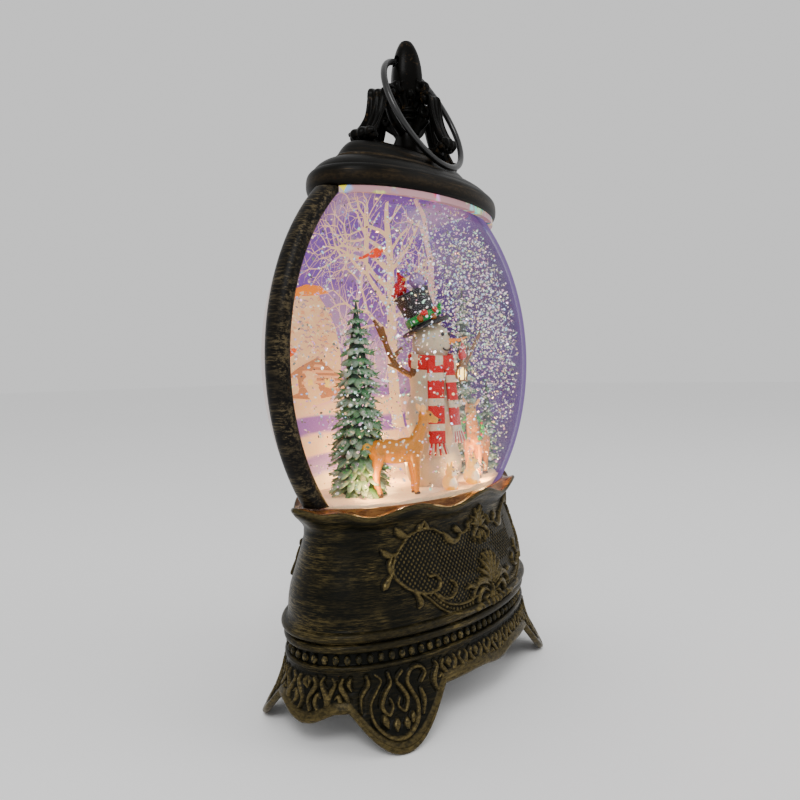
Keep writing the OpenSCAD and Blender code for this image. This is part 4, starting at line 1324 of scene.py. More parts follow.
def printed_scene(material):
    layer = Print()
    chance = random.Random(5)
    # large tree: a bent trunk and its fan of bare branches
    layer.stroke([(37, 112), (37.5, 135), (37, 157), (34.5, 173), (31, 187), (25, 201), (17, 212),
                  (8, 222)],
                 (8, 7, 6.6, 6, 5, 4, 3, 1.6), CREAM)
    for x, z, heading, length, width in (
            (36, 160, -1.05, 22, 3.0), (35, 168, 1.0, 13, 2.6), (34, 174, -0.95, 26, 3.4),
                                         (32, 184, -1.2, 26, 3.0),
            (32, 182, 0.8, 15, 2.8), (29, 192, 0.55, 15, 2.6), (29, 192, -1.15, 22, 2.8),
                                         (25, 200, -1.25, 20, 2.4),
            (25, 200, 0.25, 14, 2.2), (20, 208, -1.3, 16, 2.0), (16, 213, 0.3, 9, 1.6)):
        tree_branches(layer, (x, z), heading, length, width, 5, CREAM, chance)
    # second, thinner tree that leans over it
    layer.stroke([(61, 118), (61, 150), (60, 173), (53, 196), (45, 207), (35, 218), (22, 225)],
                 (4.6, 4, 3.6, 3, 2.4, 1.6, 1),
                 PINK, lift=0.33)
    for x, z, heading in ((61, 150, -0.8), (60, 160, 0.7), (60, 170, -0.9), (57, 182, 0.6),
                          (55, 190, -1.0),
                          (50, 201, 0.5), (44, 208, -0.9)):
        tree_branches(layer, (x, z), heading, 10, 1.7, 3, PINK, chance)
    # frosted thicket
    for k in range(48):
        x, z = chance.uniform(-6, 58), chance.uniform(134, 196)
        if math.hypot(x, z - GLOBE_Z) < FILM_R - 14:
            shade = (0.93, 0.68, 0.6) if x < 34 else (0.5, 0.34, 0.5)
            tree_branches(layer, (x, z), chance.uniform(-0.8, 0.8), 7, 0.9, 2, shade, chance)
    # snow-heaped cottage over a log cabin
    layer.patch([(-62, 128), (-66, 146), (-58, 160), (-50, 170), (-42, 177), (-33, 180), (-24, 178),
                 (-15, 172), (-6, 163),
                 (-1, 150), (-2, 136), (-12, 128), (-36, 125)], (0.86, 0.6, 0.38), lift=0.27)
    layer.patch([(-56, 171), (-46, 177), (-34, 180.5), (-22, 181), (-14, 178.4), (-24, 176.6),
                 (-38, 175), (-50, 170)],
                (0.92, 0.34, 0.13), lift=0.4)
    layer.patch([(-50, 131), (-50, 139), (-36, 144), (-20, 148.6), (-9, 143), (0, 138), (1, 131),
                 (-24, 129)],
                (0.48, 0.25, 0.15), lift=0.38)
    layer.patch([(-50, 148.6), (-44, 152), (-37, 152.6), (-40, 149.6), (-47, 147.4)],
                (0.86, 0.2, 0.1), lift=0.42)
    for k in range(6):
        z = 131.6 + 2.5 * k
        reach = 24 - 4.6 * max(0, k - 2)
        layer.stroke([(-23 - reach, z), (-22, z + 0.5), (-22 + reach, z)], (1.1, 1.2, 1.1),
                     (0.84, 0.5, 0.32), lift=0.45)
    for x in (-40, -27, -13):
        layer.patch([(x - 2, 133), (x - 2, 138.4), (x + 2, 138.4), (x + 2, 133)], (1.0, 0.72, 0.28),
                    lift=0.5)
    for k in range(320):
        x, z = chance.uniform(-58, -4), chance.uniform(126, 176)
        if abs(x + 31) > 31 - 0.42 * max(0, z - 138) or (z < 148 and -50 < x < 0):
            continue
        layer.stroke([(x, z), (x + chance.uniform(1, 2.4), z + chance.uniform(-0.6, 1.4)),
                      (x + 3.6, z - 0.3)], (0.4, 0.9, 0.3),
                     chance.choice([(0.7, 0.42, 0.26), (0.5, 0.34, 0.3), (0.95, 0.76, 0.54),
                                    (0.42, 0.34, 0.36)]), lift=0.44)
    # fence rails to the right
    for z in (139.5, 132, 125.5):
        layer.stroke([(54, z), (67, z + 0.5), (80, z)], (2.0, 2.0, 1.8), (0.86, 0.62, 0.6))
    for x in (58, 67, 75):
        layer.stroke([(x, 118), (x, 130), (x, 143)], (2, 2, 2), (0.86, 0.62, 0.6), lift=0.4)
    layer.patch([(44, 96), (42, 112), (52, 119), (64, 121), (72, 116), (68, 104), (56, 94)],
                (0.95, 0.72, 0.56), lift=0.31)
    # red bird on a branch
    layer.patch([(10, 198.5), (12, 201), (15, 202.4), (18.4, 201.4), (19.6, 199.4), (17, 197.6),
                 (12, 197.4)],
                (0.85, 0.1, 0.05), lift=0.6)
    layer.patch([(18.2, 201), (19, 203.4), (21, 203), (21.6, 201.2), (20, 199.8)],
                (0.8, 0.08, 0.04), lift=0.62)
    layer.stroke([(10.6, 198.6), (7, 197), (4, 196.2)], (1.8, 1.5, 1), (0.75, 0.1, 0.06), lift=0.6)
    layer.build("film_picture", material, slot="film_print")


# The film, its print and its plain back glow: painted light, standing in for the lamp inside
# lighting the film from behind.
glowing_film_front = painted("glowing_film_front", rough=0.5, emission=0.42, vary=0.1, bump=0.03)
glowing_film_back = plain("glowing_film_back", (0.74, 0.66, 0.66), rough=0.5, vary=0.05, scale=0.05, emission=0.06)
glowing_print_ink = painted("glowing_print_ink", rough=0.5, emission=0.46, vary=0.12, bump=0.03)
film(glowing_film_front, glowing_film_back)
printed_scene(glowing_print_ink)

# ------------------------------------------------------------------ snow


def snow_height(x, y):
    """Soft drifts, heaped a little where they meet the wall."""
    h = (0.9 * np.sin(x * 0.13 + 0.6) * np.cos(y * 0.19) + 0.5 * np.sin(x * 0.31 + y * 0.27)
         + 0.35 * np.sin(y * 0.5 - x * 0.2))
    part = (x / SNOW_A) ** 2 + (y / SNOW_B) ** 2
    return GROUND_Z + 0.9 + h * 0.55 + 0.6 * ease((part - 0.62) / 0.38)


def snow_bed(material):
    rings, seg = 46, 200
    f = np.linspace(0.0, 1, rings)[1:]
    a = np.linspace(0, 2 * np.pi, seg, endpoint=False)
    ff, aa = np.meshgrid(f, a, indexing="ij")
    inner_r, inner_half = GLOBE_R - 2.2, GLOBE_HALF - 2.2
    x, y = ff * np.cos(aa), ff * np.sin(aa)
    z = snow_height(x * SNOW_A, y * SNOW_B)
    grow = globe_part(z, inner_r)
    px, py = x * inner_r * grow, y * inner_half * grow
    top = np.stack([px, py, z], -1).reshape(-1, 3)
    low_part = globe_part(SNOW_LOW_Z, inner_r)
    low = np.stack([np.cos(a) * inner_r * low_part, np.sin(a) * inner_half * low_part,
                    np.full(seg, SNOW_LOW_Z)], -1)
    pts = np.vstack([top, low, [[0, 0, snow_height(0.0, 0.0)]]])
    quads = grid_faces(rings, seg, closed_cols=True)
    faces = [tuple(q) for q in quads]
    middle = len(pts) - 1
    faces += [(middle, j, (j + 1) % seg) for j in range(seg)]
    last = (rings - 1) * seg
    faces.append(tuple(range(last, last + seg))[::-1])
    make_piece("snow", pts, faces, material, slot="snow", replaces=("snow_ground",))


# The snow glows warm: painted light, standing in for the lamp inside lighting it.
glowing_snow = plain("glowing_snow", (0.8, 0.55, 0.33), rough=0.6, vary=0.12, scale=0.9, emission=0.45)
snow_bed(glowing_snow)

# ------------------------------------------------------------------ figures


def fused(name, parts, size, material, smooth_steps=6, **more):
    """Joins overlapping shapes into one skin and keeps each shape's colour."""
    batch = Batch()
    for pts, faces, colour in parts:
        batch.add(pts, faces, colour)
    verts = np.vstack(batch.verts)
    mesh = bpy.data.meshes.new("raw")
    mesh.from_pydata([tuple(v) for v in verts * MM], [], batch.faces)
    raw = bpy.data.objects.new("raw", mesh)
    bpy.context.scene.collection.objects.link(raw)
    skin = raw.modifiers.new("skin", "REMESH")
    skin.mode = "VOXEL"
    skin.voxel_size = size * MM
    soft = raw.modifiers.new("soft", "SMOOTH")
    soft.factor = 0.5
    soft.iterations = smooth_steps
    graph = bpy.context.evaluated_depsgraph_get()
    result = bpy.data.meshes.new_from_object(raw.evaluated_get(graph))
    points = np.array([v.co for v in result.vertices]) / MM
    polygons = [tuple(p.vertices) for p in result.polygons]
    bpy.data.objects.remove(raw)
    bpy.data.meshes.remove(mesh)
    bpy.data.meshes.remove(result)
    colours = np.vstack(batch.colours)
    tree = KDTree(len(verts))
    for i, v in enumerate(verts):
        tree.insert(v, i)
    tree.balance()
    near = [[colours[i] for _, i, _ in tree.find_n(p, 6)] for p in points]
    return make_piece(name, points, polygons, material,
                      attributes={"paint": np.array([np.mean(c, 0) for c in near])},
                      **more)


def cone(a, b, ra, rb, sides=12):
    return tube(np.linspace(a, b, 5), np.linspace(ra, rb, 5), sides=sides)


SNOWMAN_X, SNOWMAN_Y = 3.0, -9.0
LIGHT_WHITE = (0.56, 0.47, 0.34)


def snowman():
    x, y, g = SNOWMAN_X, SNOWMAN_Y, GROUND_Z
    parts = []
    for z, r, k in ((11, 13.0, 1.0), (33, 12.2, 1.05), (50, 10.4, 1.0)):
        parts.append((*ball((x, y, g + z), (r, r, r * 1.15 * k), 40, 28), LIGHT_WHITE))
    parts.append((*cone((x, y, g + 8), (x, y, g + 54), 11.6, 9.4, sides=32), LIGHT_WHITE))
    parts.append((*ball((x, y, g + 65.6), (8.8, 8.8, 9.2), 40, 28), LIGHT_WHITE))
    # The snowman's skin glows faintly: painted light from the lamp inside.
    fused("snowman_body", parts, 0.7, painted("glowing_snowman_skin", rough=0.4, vary=0.04, bump=0.08,
                                              subsurface=0.2,
                                              emission=0.06),
          slot="snowman_white", replaces=("snowman",))
    details = Batch()
    nose = spline([(x + 2, y - 7.6, g + 66), (x + 5, y - 11.4, g + 66.6),
                   (x + 7.4, y - 14.4, g + 68)], 6)
    details.add(*tube(nose, np.linspace(1.5, 0.25, len(nose)), sides=12), (0.95, 0.3, 0.05))
    black = (0.02, 0.02, 0.02)
    for dx, dz in ((-3.0, 69.2), (2.6, 69.4)):
        details.add(*ball((x + dx, y - 7.9, g + dz), (0.85, 0.7, 0.95), 14, 10), black)
    for k in range(5):
        a = math.radians(-150 + 30 * k)
        details.add(*ball((x + 3.4 * math.cos(a), y - 8.3, g + 63.6 + 1.6 * math.sin(a)),
                          (0.5, 0.4, 0.5), 10, 8), black)
    for z, out in ((52, 10.6), (47, 10.9), (41, 11.6), (35, 12.6), (28, 12.4)):
        details.add(*ball((x + 1.2, y - out, g + z), (1.15, 0.8, 1.15), 14, 10), black)
    details.build("snowman_face", painted("coal_paint", rough=0.35, vary=0.05, coat=0.3),
                  slot="hat_black")

    wood = (0.2, 0.1, 0.045)
    arms = []
    left = spline([(x - 7, y + 5, g + 50), (x - 11.5, y + 11, g + 55), (x - 14.6, y + 14, g + 63),
                   (x - 16.6, y + 16, g + 73)], 8)
    arms.append((*tube(left, np.linspace(2.0, 1.7, len(left)), sides=12, flat=0.7), wood))
    arms.append((*cone(left[-5], left[-1] + (-2.2, 2.4, 3), 1.7, 0.8), wood))
    arms.append((*cone(left[12], left[12] + (4.4, -3, 5), 1.3, 0.9), wood))
    arms.append((*cone(left[7], left[7] + (-5, 3, 2), 1.1, 0.5), wood))
    right = spline([(x + 8, y - 4, g + 49), (x + 13, y - 8, g + 53), (x + 16, y - 12, g + 62),
                    (x + 18, y - 16, g + 71)], 8)
    arms.append((*tube(right, np.linspace(1.5, 0.8, len(right)), sides=12), wood))
    arms.append((*cone(right[14], right[14] + (2.6, 2, 5), 0.9, 0.4), wood))
    arms.append((*cone(right[10], right[10] + (-2, -2, 5), 0.8, 0.4), wood))
    # small brown owl tucked by the arm
    owl = (0.13, 0.065, 0.035)
    arms.append((*ball((x - 8.4, y + 3.4, g + 53.4), (2.3, 2.3, 3.6), 20, 14), owl))
    arms.append((*ball((x - 8.2, y + 2.6, g + 57.4), (1.9, 1.9, 1.8), 18, 12), owl))
    fused("snowman_arms", arms, 0.4, painted("twig_paint", rough=0.5, vary=0.3, bump=0.4),
          smooth_steps=3,
          slot="deer_tan")


def scarf():
    x, y, g = SNOWMAN_X, SNOWMAN_Y, GROUND_Z
    red, cream = np.array([0.55, 0.015, 0.015]), np.array([0.66, 0.54, 0.4])
    batch = Batch()

    def band(path, out_dir, half, thick, stripe, phase=0.0):
        """Flat knitted strip with blunt edges, in red and cream bars."""
        path = np.asarray(path, dtype=float)
        n = len(path)
        along = np.gradient(path, axis=0)
        along /= np.linalg.norm(along, axis=1, keepdims=True)
        out = np.asarray(out_dir, dtype=float)
        out = out - along * np.sum(out * along, 1, keepdims=True)
        out /= np.linalg.norm(out, axis=1, keepdims=True)
        side = np.cross(along, out)
        ring = [(-1, -0.6), (-1, 0.6), (-0.86, 1), (-0.4, 1.12), (0, 1.0), (0.4, 1.12), (0.86, 1),
                (1, 0.6), (1, -0.6),
                (0.5, -1), (-0.5, -1)]
        pts = np.stack([path + side * half * a + out * thick * b for a, b in ring], 1)
        length = np.concatenate([[0], np.cumsum(np.linalg.norm(np.diff(path, axis=0), axis=1))])
        tone = np.where(np.sin(length / stripe * np.pi + phase) > -0.62, 1, 0)
        colour = np.where(tone[:, None] > 0, red, cream)
        m = len(ring)
        faces = [tuple(q) for q in grid_faces(n, m, closed_cols=True)]
        faces += [tuple(range(m))[::-1], tuple(range((n - 1) * m, n * m))]
        batch.add(pts.reshape(-1, 3), faces, np.repeat(colour, m, 0))

    a = np.linspace(0, 2 * np.pi, 220)
    r = 9.6 + 0.4 * np.sin(5 * a)
    neck = np.stack([x + r * np.cos(a), y + r * np.sin(a), g + 57.4 + 1.1 * np.sin(a + 0.5)], -1)
    outward_dir = np.stack([np.cos(a), np.sin(a), 0 * a], -1)
    band(neck, outward_dir, 3.3, 1.3, 5.2)
    # long tail down the side that shows, and a shorter one by the deer, both ending in a fringe
    for heading, points, half in ((-2.45,
                                   [(9.6, 57), (11.4, 51), (12.0, 42), (12.6, 34), (13.2, 27),
                                    (14.4, 21)], 3.6),
                                  (-1.75,
                                   [(10.0, 56), (11.2, 48), (12.6, 38), (13.4, 31), (14.6, 26)],
                                   3.0)):
        c, s = math.cos(heading), math.sin(heading)
        line = spline(points, 30)
        path = np.stack([x + c * line[:, 0], y + s * line[:, 0], g + line[:, 1]], -1)
        band(path, np.tile([c, s, 0.0], (len(path), 1)), half, 0.9, 5.6, phase=0.8)
        end = path[-1]
        side = np.array([-s, c, 0])
        for k in np.linspace(-1, 1, 9):
            tip = end + side * half * k * 1.35 + np.array([c * 1.6, s * 1.6, -5.2 + 0.8 * abs(k)])
            colour = red if int(round(k * 4)) % 2 else cream
            batch.add(*cone(end + side * half * k * 0.9 + (0, 0, 0.6), tip, 0.5, 0.36, sides=8),
                      colour)
    batch.build("snowman_scarf", painted("scarf_knit", rough=0.75, vary=0.12, bump=0.5),
                slot="snowman_white")


def hat():
    x, y, g = SNOWMAN_X, SNOWMAN_Y, GROUND_Z
    # the hat leans away from the lantern
    tilt = np.array(Matrix.Rotation(math.radians(24), 3, (-0.84, -0.54, 0)))
    base = np.array([x - 1.0, y + 1.6, g + 72.0])

    def place(pts):
        return (np.asarray(pts) * (1, 1, 1.2)) @ tilt.T + base

    felt = spline([(0.4, 1.0), (7.4, 1.2), (10.6, 0.3), (11.4, 0.6), (11.5, 1.1), (10.8, 1.6),
                   (8.2, 2.0), (7.3, 2.8),
                   (7.3, 6), (7.6, 10), (8.1, 13.4), (8.3, 14.3), (7.9, 14.9), (4, 15.1),
                   (0.3, 15.1)], 5)
    pts, faces = lathe(felt, seg=56)
    batch = Batch()
    batch.add(place(pts), faces, (0.012, 0.011, 0.012))
    ribbon = spline([(7.35, 2.6), (7.9, 3.0), (7.95, 5.4), (7.5, 5.8)], 4)
    pts, faces = lathe(ribbon, seg=56)
    batch.add(place(pts), faces, (0.02, 0.28, 0.06))
    batch.build("snowman_hat_felt", painted("hat_paint", rough=0.42, vary=0.1, bump=0.15),
                slot="hat_black",
                replaces=("snowman_hat",))
    trim = Batch()
    for a, r, colour in ((-2.7, 1.5, (0.3, 0.1, 0.04)), (-2.35, 1.3, (0.6, 0.03, 0.03)),
                         (-2.0, 1.4, (0.3, 0.12, 0.05)),
                         (-1.7, 1.2, (0.62, 0.04, 0.03)), (-2.5, 0.9, (0.66, 0.04, 0.03))):
        spot = (8.7 * math.cos(a), 8.7 * math.sin(a), 4.2 + 1.6 * math.sin(a * 7))
        p, f = ball(spot, (r, r, r), 16, 10)
        trim.add(place(p), f, colour)
    for a in (-1.35, -1.6, -1.1, -2.95):
        start = np.array([8.2 * math.cos(a), 8.2 * math.sin(a), 4.2])
        tip = start * 1.28 + (0, 0, 2.4 * math.sin(5 * a))
        p, f = tube(np.linspace(start, tip, 7), [0.4, 1.2, 1.6, 1.4, 1.3, 0.8, 0.2], sides=10,
                    flat=0.35)
        trim.add(place(p), f, (0.05, 0.4, 0.08))
    # red bird and a lilac bauble on the crown
    red = (0.66, 0.03, 0.035)
    for spot, size in (((-2.4, 2.6, 17.8), (2.9, 3.2, 2.8)), ((-2.2, 0.2, 20.4), (1.9, 1.9, 1.9)),
                       ((-2.2, 6.2, 16.6), (1.4, 2.8, 1.2)),
                       ((-2.0, 0.4, 22.4), (0.9, 0.9, 1.4))):
        p, f = ball(spot, size, 20, 14)
        trim.add(place(p), f, red)
    p, f = ball((-2.8, -1.6, 20.2), (0.8, 1.0, 0.7), 12, 8)
    trim.add(place(p), f, (0.9, 0.5, 0.1))
    p, f = ball((1.8, -4.6, 17.8), (3.4, 3.4, 3.4), 24, 16)
    trim.add(place(p), f, (0.42, 0.3, 0.55))
    trim.build("snowman_hat_trim", painted("trim_paint", rough=0.3, vary=0.12, bump=0.2, coat=0.4),
               slot="hat_black")


def hand_lantern():
    x, y, g = SNOWMAN_X + 10.2, SNOWMAN_Y - 10.0, GROUND_Z + 48
    glass, frame_parts = Batch(), Batch()
    glass.add(*ball((x, y, g + 3.4), (2.0, 2.0, 2.9), 18, 12), (1.0, 0.72, 0.3))
    for k in range(6):
        a = k * np.pi / 3
        post = [(x + 2.2 * math.cos(a), y + 2.2 * math.sin(a), g + h) for h in (0.5, 3.2, 6.4)]
        frame_parts.add(*tube(post, 0.3, sides=8), (0.25, 0.12, 0.03))
    for h, r in ((0.2, 2.8), (6.6, 2.8)):
        p, f = lathe([(0.2, h - 0.4), (r, h - 0.4), (r, h + 0.3), (0.2, h + 0.3)], seg=24)
        frame_parts.add(p + (x, y, g), f, (0.25, 0.12, 0.03))
    p, f = lathe([(2.6, 6.8), (1.4, 8.4), (0.5, 9.6), (0.1, 9.8)], seg=24)
    frame_parts.add(p + (x, y, g), f, (0.25, 0.12, 0.03))
    glass.build("lantern_glass", painted("lantern_light", rough=0.3, emission=5.0),
                slot="lantern_amber",
                replaces=("snowman_lantern",))
    # red bird above the lantern
    red = (0.68, 0.03, 0.035)
    for spot, size in (((0.6, 0, 13.4), (2.2, 1.9, 2.6)), ((0.2, -0.6, 16.6), (1.5, 1.5, 1.5)),
                       ((0, -0.4, 18.4), (0.6, 0.6, 1.1)),
                       ((2.2, 0.8, 11.4), (1.0, 0.8, 2.2))):
        p, f = ball(spot, size, 18, 12)
        frame_parts.add(p + (x, y, g - 1.4), f, red)
    frame_parts.build("lantern_frame", painted("lantern_brass", rough=0.35, vary=0.15, coat=0.3),
                      slot="lantern_amber")


def deer(name, node, at, heading, size, wreath=False):
    """Standing fawn that faces +X before it is turned."""
    tan, pale, dark = (0.52, 0.19, 0.02), (0.6, 0.33, 0.1), (0.05, 0.03, 0.02)
    parts = [(*ball((-4.4, 0, 19.4), (7.6, 4.6, 5.0), 28, 18), tan),
             (*ball((3.6, 0, 19.4), (6.6, 4.1, 5.4), 28, 18), tan),
             (*ball((-9.0, 0, 19.2), (4.0, 4.2, 4.9), 24, 16), tan),
             (*ball((-0.6, 0, 15.8), (7, 3.0, 2.2), 24, 16), pale),
             (*ball((8.2, 0, 20.6), (3.4, 3.0, 4.6), 22, 14), tan)]
    neck = spline([(6.8, 0, 21), (9.0, 0, 25), (10.6, 0, 29), (12, 0, 32.4)], 6)
    parts.append((*tube(neck, np.linspace(3.4, 2.1, len(neck)), sides=18), tan))
    parts.append((*ball((12.8, 0, 33.4), (3.5, 2.7, 2.9), 24, 16), tan))
    snout = spline([(13.6, 0, 33.2), (16, 0, 32.2), (18.2, 0, 31.4)], 6)
    parts.append((*tube(snout, np.linspace(2.2, 1.25, len(snout)), sides=16), pale))
    for s in (-1, 1):
        ear = [(11.4, s * 1.8, 35), (10.6, s * 3.2, 37.2), (9.8, s * 4.4, 39.2)]
        parts.append((*tube(spline(ear, 6), [0.8, 1.4, 1.6, 1.2, 0.3], sides=12,
                           flat=0.5, side_dir=(1, 0, 0)), (0.85, 0.5, 0.25)))
        for front, foot_x, knee in ((1, 7.4, 0.5), (0, -9.0, -1.5)):
            hip = 6.6 if front else -8.6
            leg = spline([(hip, s * 2.1, 18), (hip + knee, s * 2.5, 12.4),
                          (foot_x + (0.2 if front else -1.2), s * 2.4, 7.4),
                          (foot_x, s * 2.4, 2.6), (foot_x + 0.3, s * 2.4, 0.7)], 6)
            parts.append((*tube(leg, np.interp(np.linspace(0, 1, len(leg)), [0, 0.3, 0.6, 1],
                                               [3.0, 1.9, 1.25, 1.1]), sides=14),
                         tan))
    tail = spline([(-12, 0, 21.4), (-14.2, 0, 21.6), (-15.6, 0, 19.6)], 6)
    parts.append((*tube(tail, [1.0, 1.5, 1.5, 1.2, 0.3], sides=12), pale))

    turn = np.array(Matrix.Rotation(math.radians(heading), 3, "Z"))

    def place(pts):
        return (np.asarray(pts) * size) @ turn.T + at

    parts = [(place(p), f, c) for p, f, c in parts]
    fused(name, parts, 0.42, glowing_deer_paint, smooth_steps=7, slot="deer_tan", replaces=(node,))
    extras = Batch()
    for s in (-1, 1):
        p, f = ball((14.1, s * 2.35, 34.3), (0.55, 0.4, 0.6), 12, 8)
        extras.add(place(p), f, dark)
        for foot_x in (7.8, -8.7):
            p, f = lathe([(1.35, 0.0), (1.3, 1.1), (1.05, 1.6), (0.3, 1.7)], seg=14)
            extras.add(place(p + (foot_x, s * 2.4, 0)), f, dark)
    p, f = ball((19.0, 0, 31.7), (0.8, 0.85, 0.7), 12, 8)
    extras.add(place(p), f, dark)
    spots = [(-7, 21.6), (-4.4, 23), (-1.6, 22.2), (-9.4, 22.8), (1.4, 23.2), (-5.8, 19.4)]
    for s in (-1, 1):
        for sx, sz in spots:
            width = 4.4 * math.sqrt(max(0.05, 1 - ((sz - 19.4) / 5.1) ** 2))
            p, f = ball((sx, s * width, sz), (0.6, 0.35, 0.6), 10, 8)
            extras.add(place(p), f, (0.95, 0.85, 0.7))
    if wreath:
        chance = random.Random(3)
        for k in range(54):
            a = 2 * np.pi * k / 54
            c = np.array([8.8 + 1.1 * math.sin(a), 4.9 * math.cos(a), 24.0 + 5.6 * math.sin(a)])
            p, f = ball(c + np.array([chance.uniform(-0.5, 0.5) for _ in range(3)]),
                        (1.15, 1.0, 0.9), 8, 6)
            extras.add(place(p), f, chance.choice([(0.02, 0.33, 0.05), (0.03, 0.45, 0.08),
                                                   (0.02, 0.24, 0.05)]))
            if k % 9 == 4:
                p, f = ball(c + (0.9, 0.3, 0.3), (0.7, 0.7, 0.7), 10, 8)
                extras.add(place(p), f, (0.65, 0.03, 0.03))
    extras.build(name + "_marks", painted(name + "_mark_paint", rough=0.3, coat=0.3),
                 slot="deer_tan")


def small_animals():
    """Two small animals that sit close together in front of the snowman."""
    parts, marks = [], Batch()
    for ax, ay, size, coat_colour in ((-6, -22.6, 1.0, (0.78, 0.42, 0.14)),
                                      (14, -22.6, 1.15, (0.85, 0.5, 0.16))):
        at = np.array([ax, ay, GROUND_Z + 0.6])
        for c, r, colour in (((0, 0, 3.4), (3.2, 3.2, 3.6), coat_colour),
                             ((0, -0.8, 8.0), (2.6, 2.5, 2.4), coat_colour),
                             ((0, -2.2, 2.8), (1.8, 1.6, 2.4), (0.95, 0.8, 0.6)),
                             ((0, -2.9, 7.4), (1.2, 1.2, 1.0), (0.95, 0.8, 0.6)),
                             ((-1.5, -2.2, 0.8), (1.0, 1.5, 0.8), coat_colour),
                             ((1.5, -2.2, 0.8), (1.0, 1.5, 0.8), coat_colour),
                             ((2.6, 1.8, 2.4), (1.4, 2.2, 1.6), coat_colour),
                             ((2.9, 2.6, 4.8), (1.2, 1.4, 2.2), coat_colour)):
            parts.append((*ball(at + np.array(c) * size, np.array(r) * size, 20, 14), colour))
        for s in (-1, 1):
            parts.append((*cone(at + np.array([s * 1.3, -0.4, 9.6]) * size,
                                at + np.array([s * 2.0, -0.2, 12.4]) * size,
                                1.0 * size, 0.35, sides=12), coat_colour))
            marks.add(*ball(at + np.array([s * 1.0, -3.0, 8.6]) * size, (0.4, 0.35, 0.45), 10, 8),
                      (0.02, 0.015, 0.01))
        marks.add(*ball(at + np.array([0, -4.1, 7.7]) * size, (0.45, 0.4, 0.35), 10, 8),
                  (0.02, 0.015, 0.01))
    # The small animals glow: painted light, standing in for the lamp inside lighting them from
    # close by.
    fused("animals", parts, 0.35, painted("glowing_animal_paint", rough=0.4, vary=0.12, emission=0.8),
          smooth_steps=4,
          slot="deer_tan", replaces=("small_animals",))
    marks.build("animal_marks", painted("animal_mark_paint", rough=0.3), slot="deer_tan")


def conifer(name, node, x, y, low, top, radius, frost, seed, tiers=13):
    """Layered fir with drooping tufts of needles and snow on their tips."""
    chance = random.Random(seed)
    batch = Batch()
    batch.add(*cone((x, y, low), (x, y, top - 2), radius * 0.2, 0.4, sides=14), (0.09, 0.05, 0.03))
    core = spline([(0.2, low + 2), (radius * 0.6, low + 3),
                   (radius * 0.52, low + (top - low) * 0.3),
                   (radius * 0.36, low + (top - low) * 0.62), (0.3, top - 1.5)], 8)
    pts, faces = lathe(core, seg=28)
    batch.add(pts + (x, y, 0), faces, (0.01, 0.035, 0.018))
    white = np.array([0.66, 0.72, 0.6])
    for tier in range(tiers):
        f = tier / (tiers - 1)
        z = low + 4 + (top - low - 6) * f
        reach = radius * (1 - f) ** 0.62 + 1.0
        count = max(6, int(round(reach * 1.3)) + 3)
        for k in range(count):
            a = 2 * np.pi * (k + 0.5 * (tier % 2) + chance.uniform(-0.2, 0.2)) / count
            span = reach * chance.uniform(0.8, 1.1)
            drop = span * chance.uniform(0.2, 0.5)
            along = np.array([math.cos(a), math.sin(a), 0])
            start = np.array([x, y, z + 1.2])
            tip = start + along * span + (0, 0, -drop)
            mid = (start + tip) / 2 + (0, 0, drop * 0.3)
            path = spline([start, mid, tip], 5)
            n = len(path)
            width = np.interp(np.linspace(0, 1, n), [0, 0.45, 0.85, 1],
                              [0.5, 0.4, 0.36, 0.1]) * min(reach, 7) * 0.72
            pts, faces = tube(path, width, sides=8, flat=0.5, side_dir=np.cross(along, (0, 0, 1)))
            green = np.array(chance.choice([(0.015, 0.09, 0.03), (0.03, 0.14, 0.045),
                                            (0.05, 0.16, 0.05)]))
            up = (pts[:, 2] - z + drop) / (drop + 2)
            out = np.linalg.norm(pts[:, :2] - (x, y), axis=1) / span
            w = ease((out - 0.4) / 0.5) * frost * (0.5 + 0.5 * np.clip(up, 0, 1))
            w = np.clip(w * chance.uniform(0.3, 1.4), 0, 0.95)
            batch.add(pts, faces, green * (1 - w)[:, None] + white * w[:, None])
            for _ in range(9):
                root = path[int(chance.uniform(0.25, 1.0) * (n - 1))]
                way = along * chance.uniform(0.2,
                                             1.0) + np.array([chance.uniform(-0.8, 0.8),
                                                              chance.uniform(-0.8, 0.8),
                                                                   chance.uniform(-0.9, 0.7)])
                needle = root + way * min(2.3, 0.6 + span * 0.2)
                tint = white if chance.random() < frost * 0.45 else green * chance.uniform(0.9, 2.2)
                batch.add(*tube([root, (root + needle) / 2, needle], [0.42, 0.3, 0.06], sides=5),
                          tint)
    batch.build(name, fir_paint, slot="pine_green", replaces=(node,))


fir_paint = painted("fir_paint", rough=0.45, vary=0.25, bump=0.3, coat=0.15)
# The deer glow a little: painted light from the lamp inside.
glowing_deer_paint = painted("glowing_deer_paint", rough=0.36, vary=0.1, bump=0.1, coat=0.25, emission=0.15)
snowman()
scarf()
hat()
hand_lantern()
deer("near_deer", "left_deer", (-28.6, -11.0, GROUND_Z + 0.9), -40, 0.98)
deer("far_deer", "right_deer", (36.0, -14.0, GROUND_Z + 0.9), 196, 1.0, wreath=True)
small_animals()
conifer("large_fir", "large_tree", -34.6, 5.0, GROUND_Z, 172.4, 13.2, 0.5, 11, tiers=20)
conifer("middle_fir", "middle_tree", 44, -2.5, GROUND_Z, 183, 8.6, 0.85, 12, tiers=17)
conifer("small_fir", "small_tree", 57, -9.0, GROUND_Z, 137, 5.4, 0.55, 13, tiers=11)

# ------------------------------------------------------------------ glitter


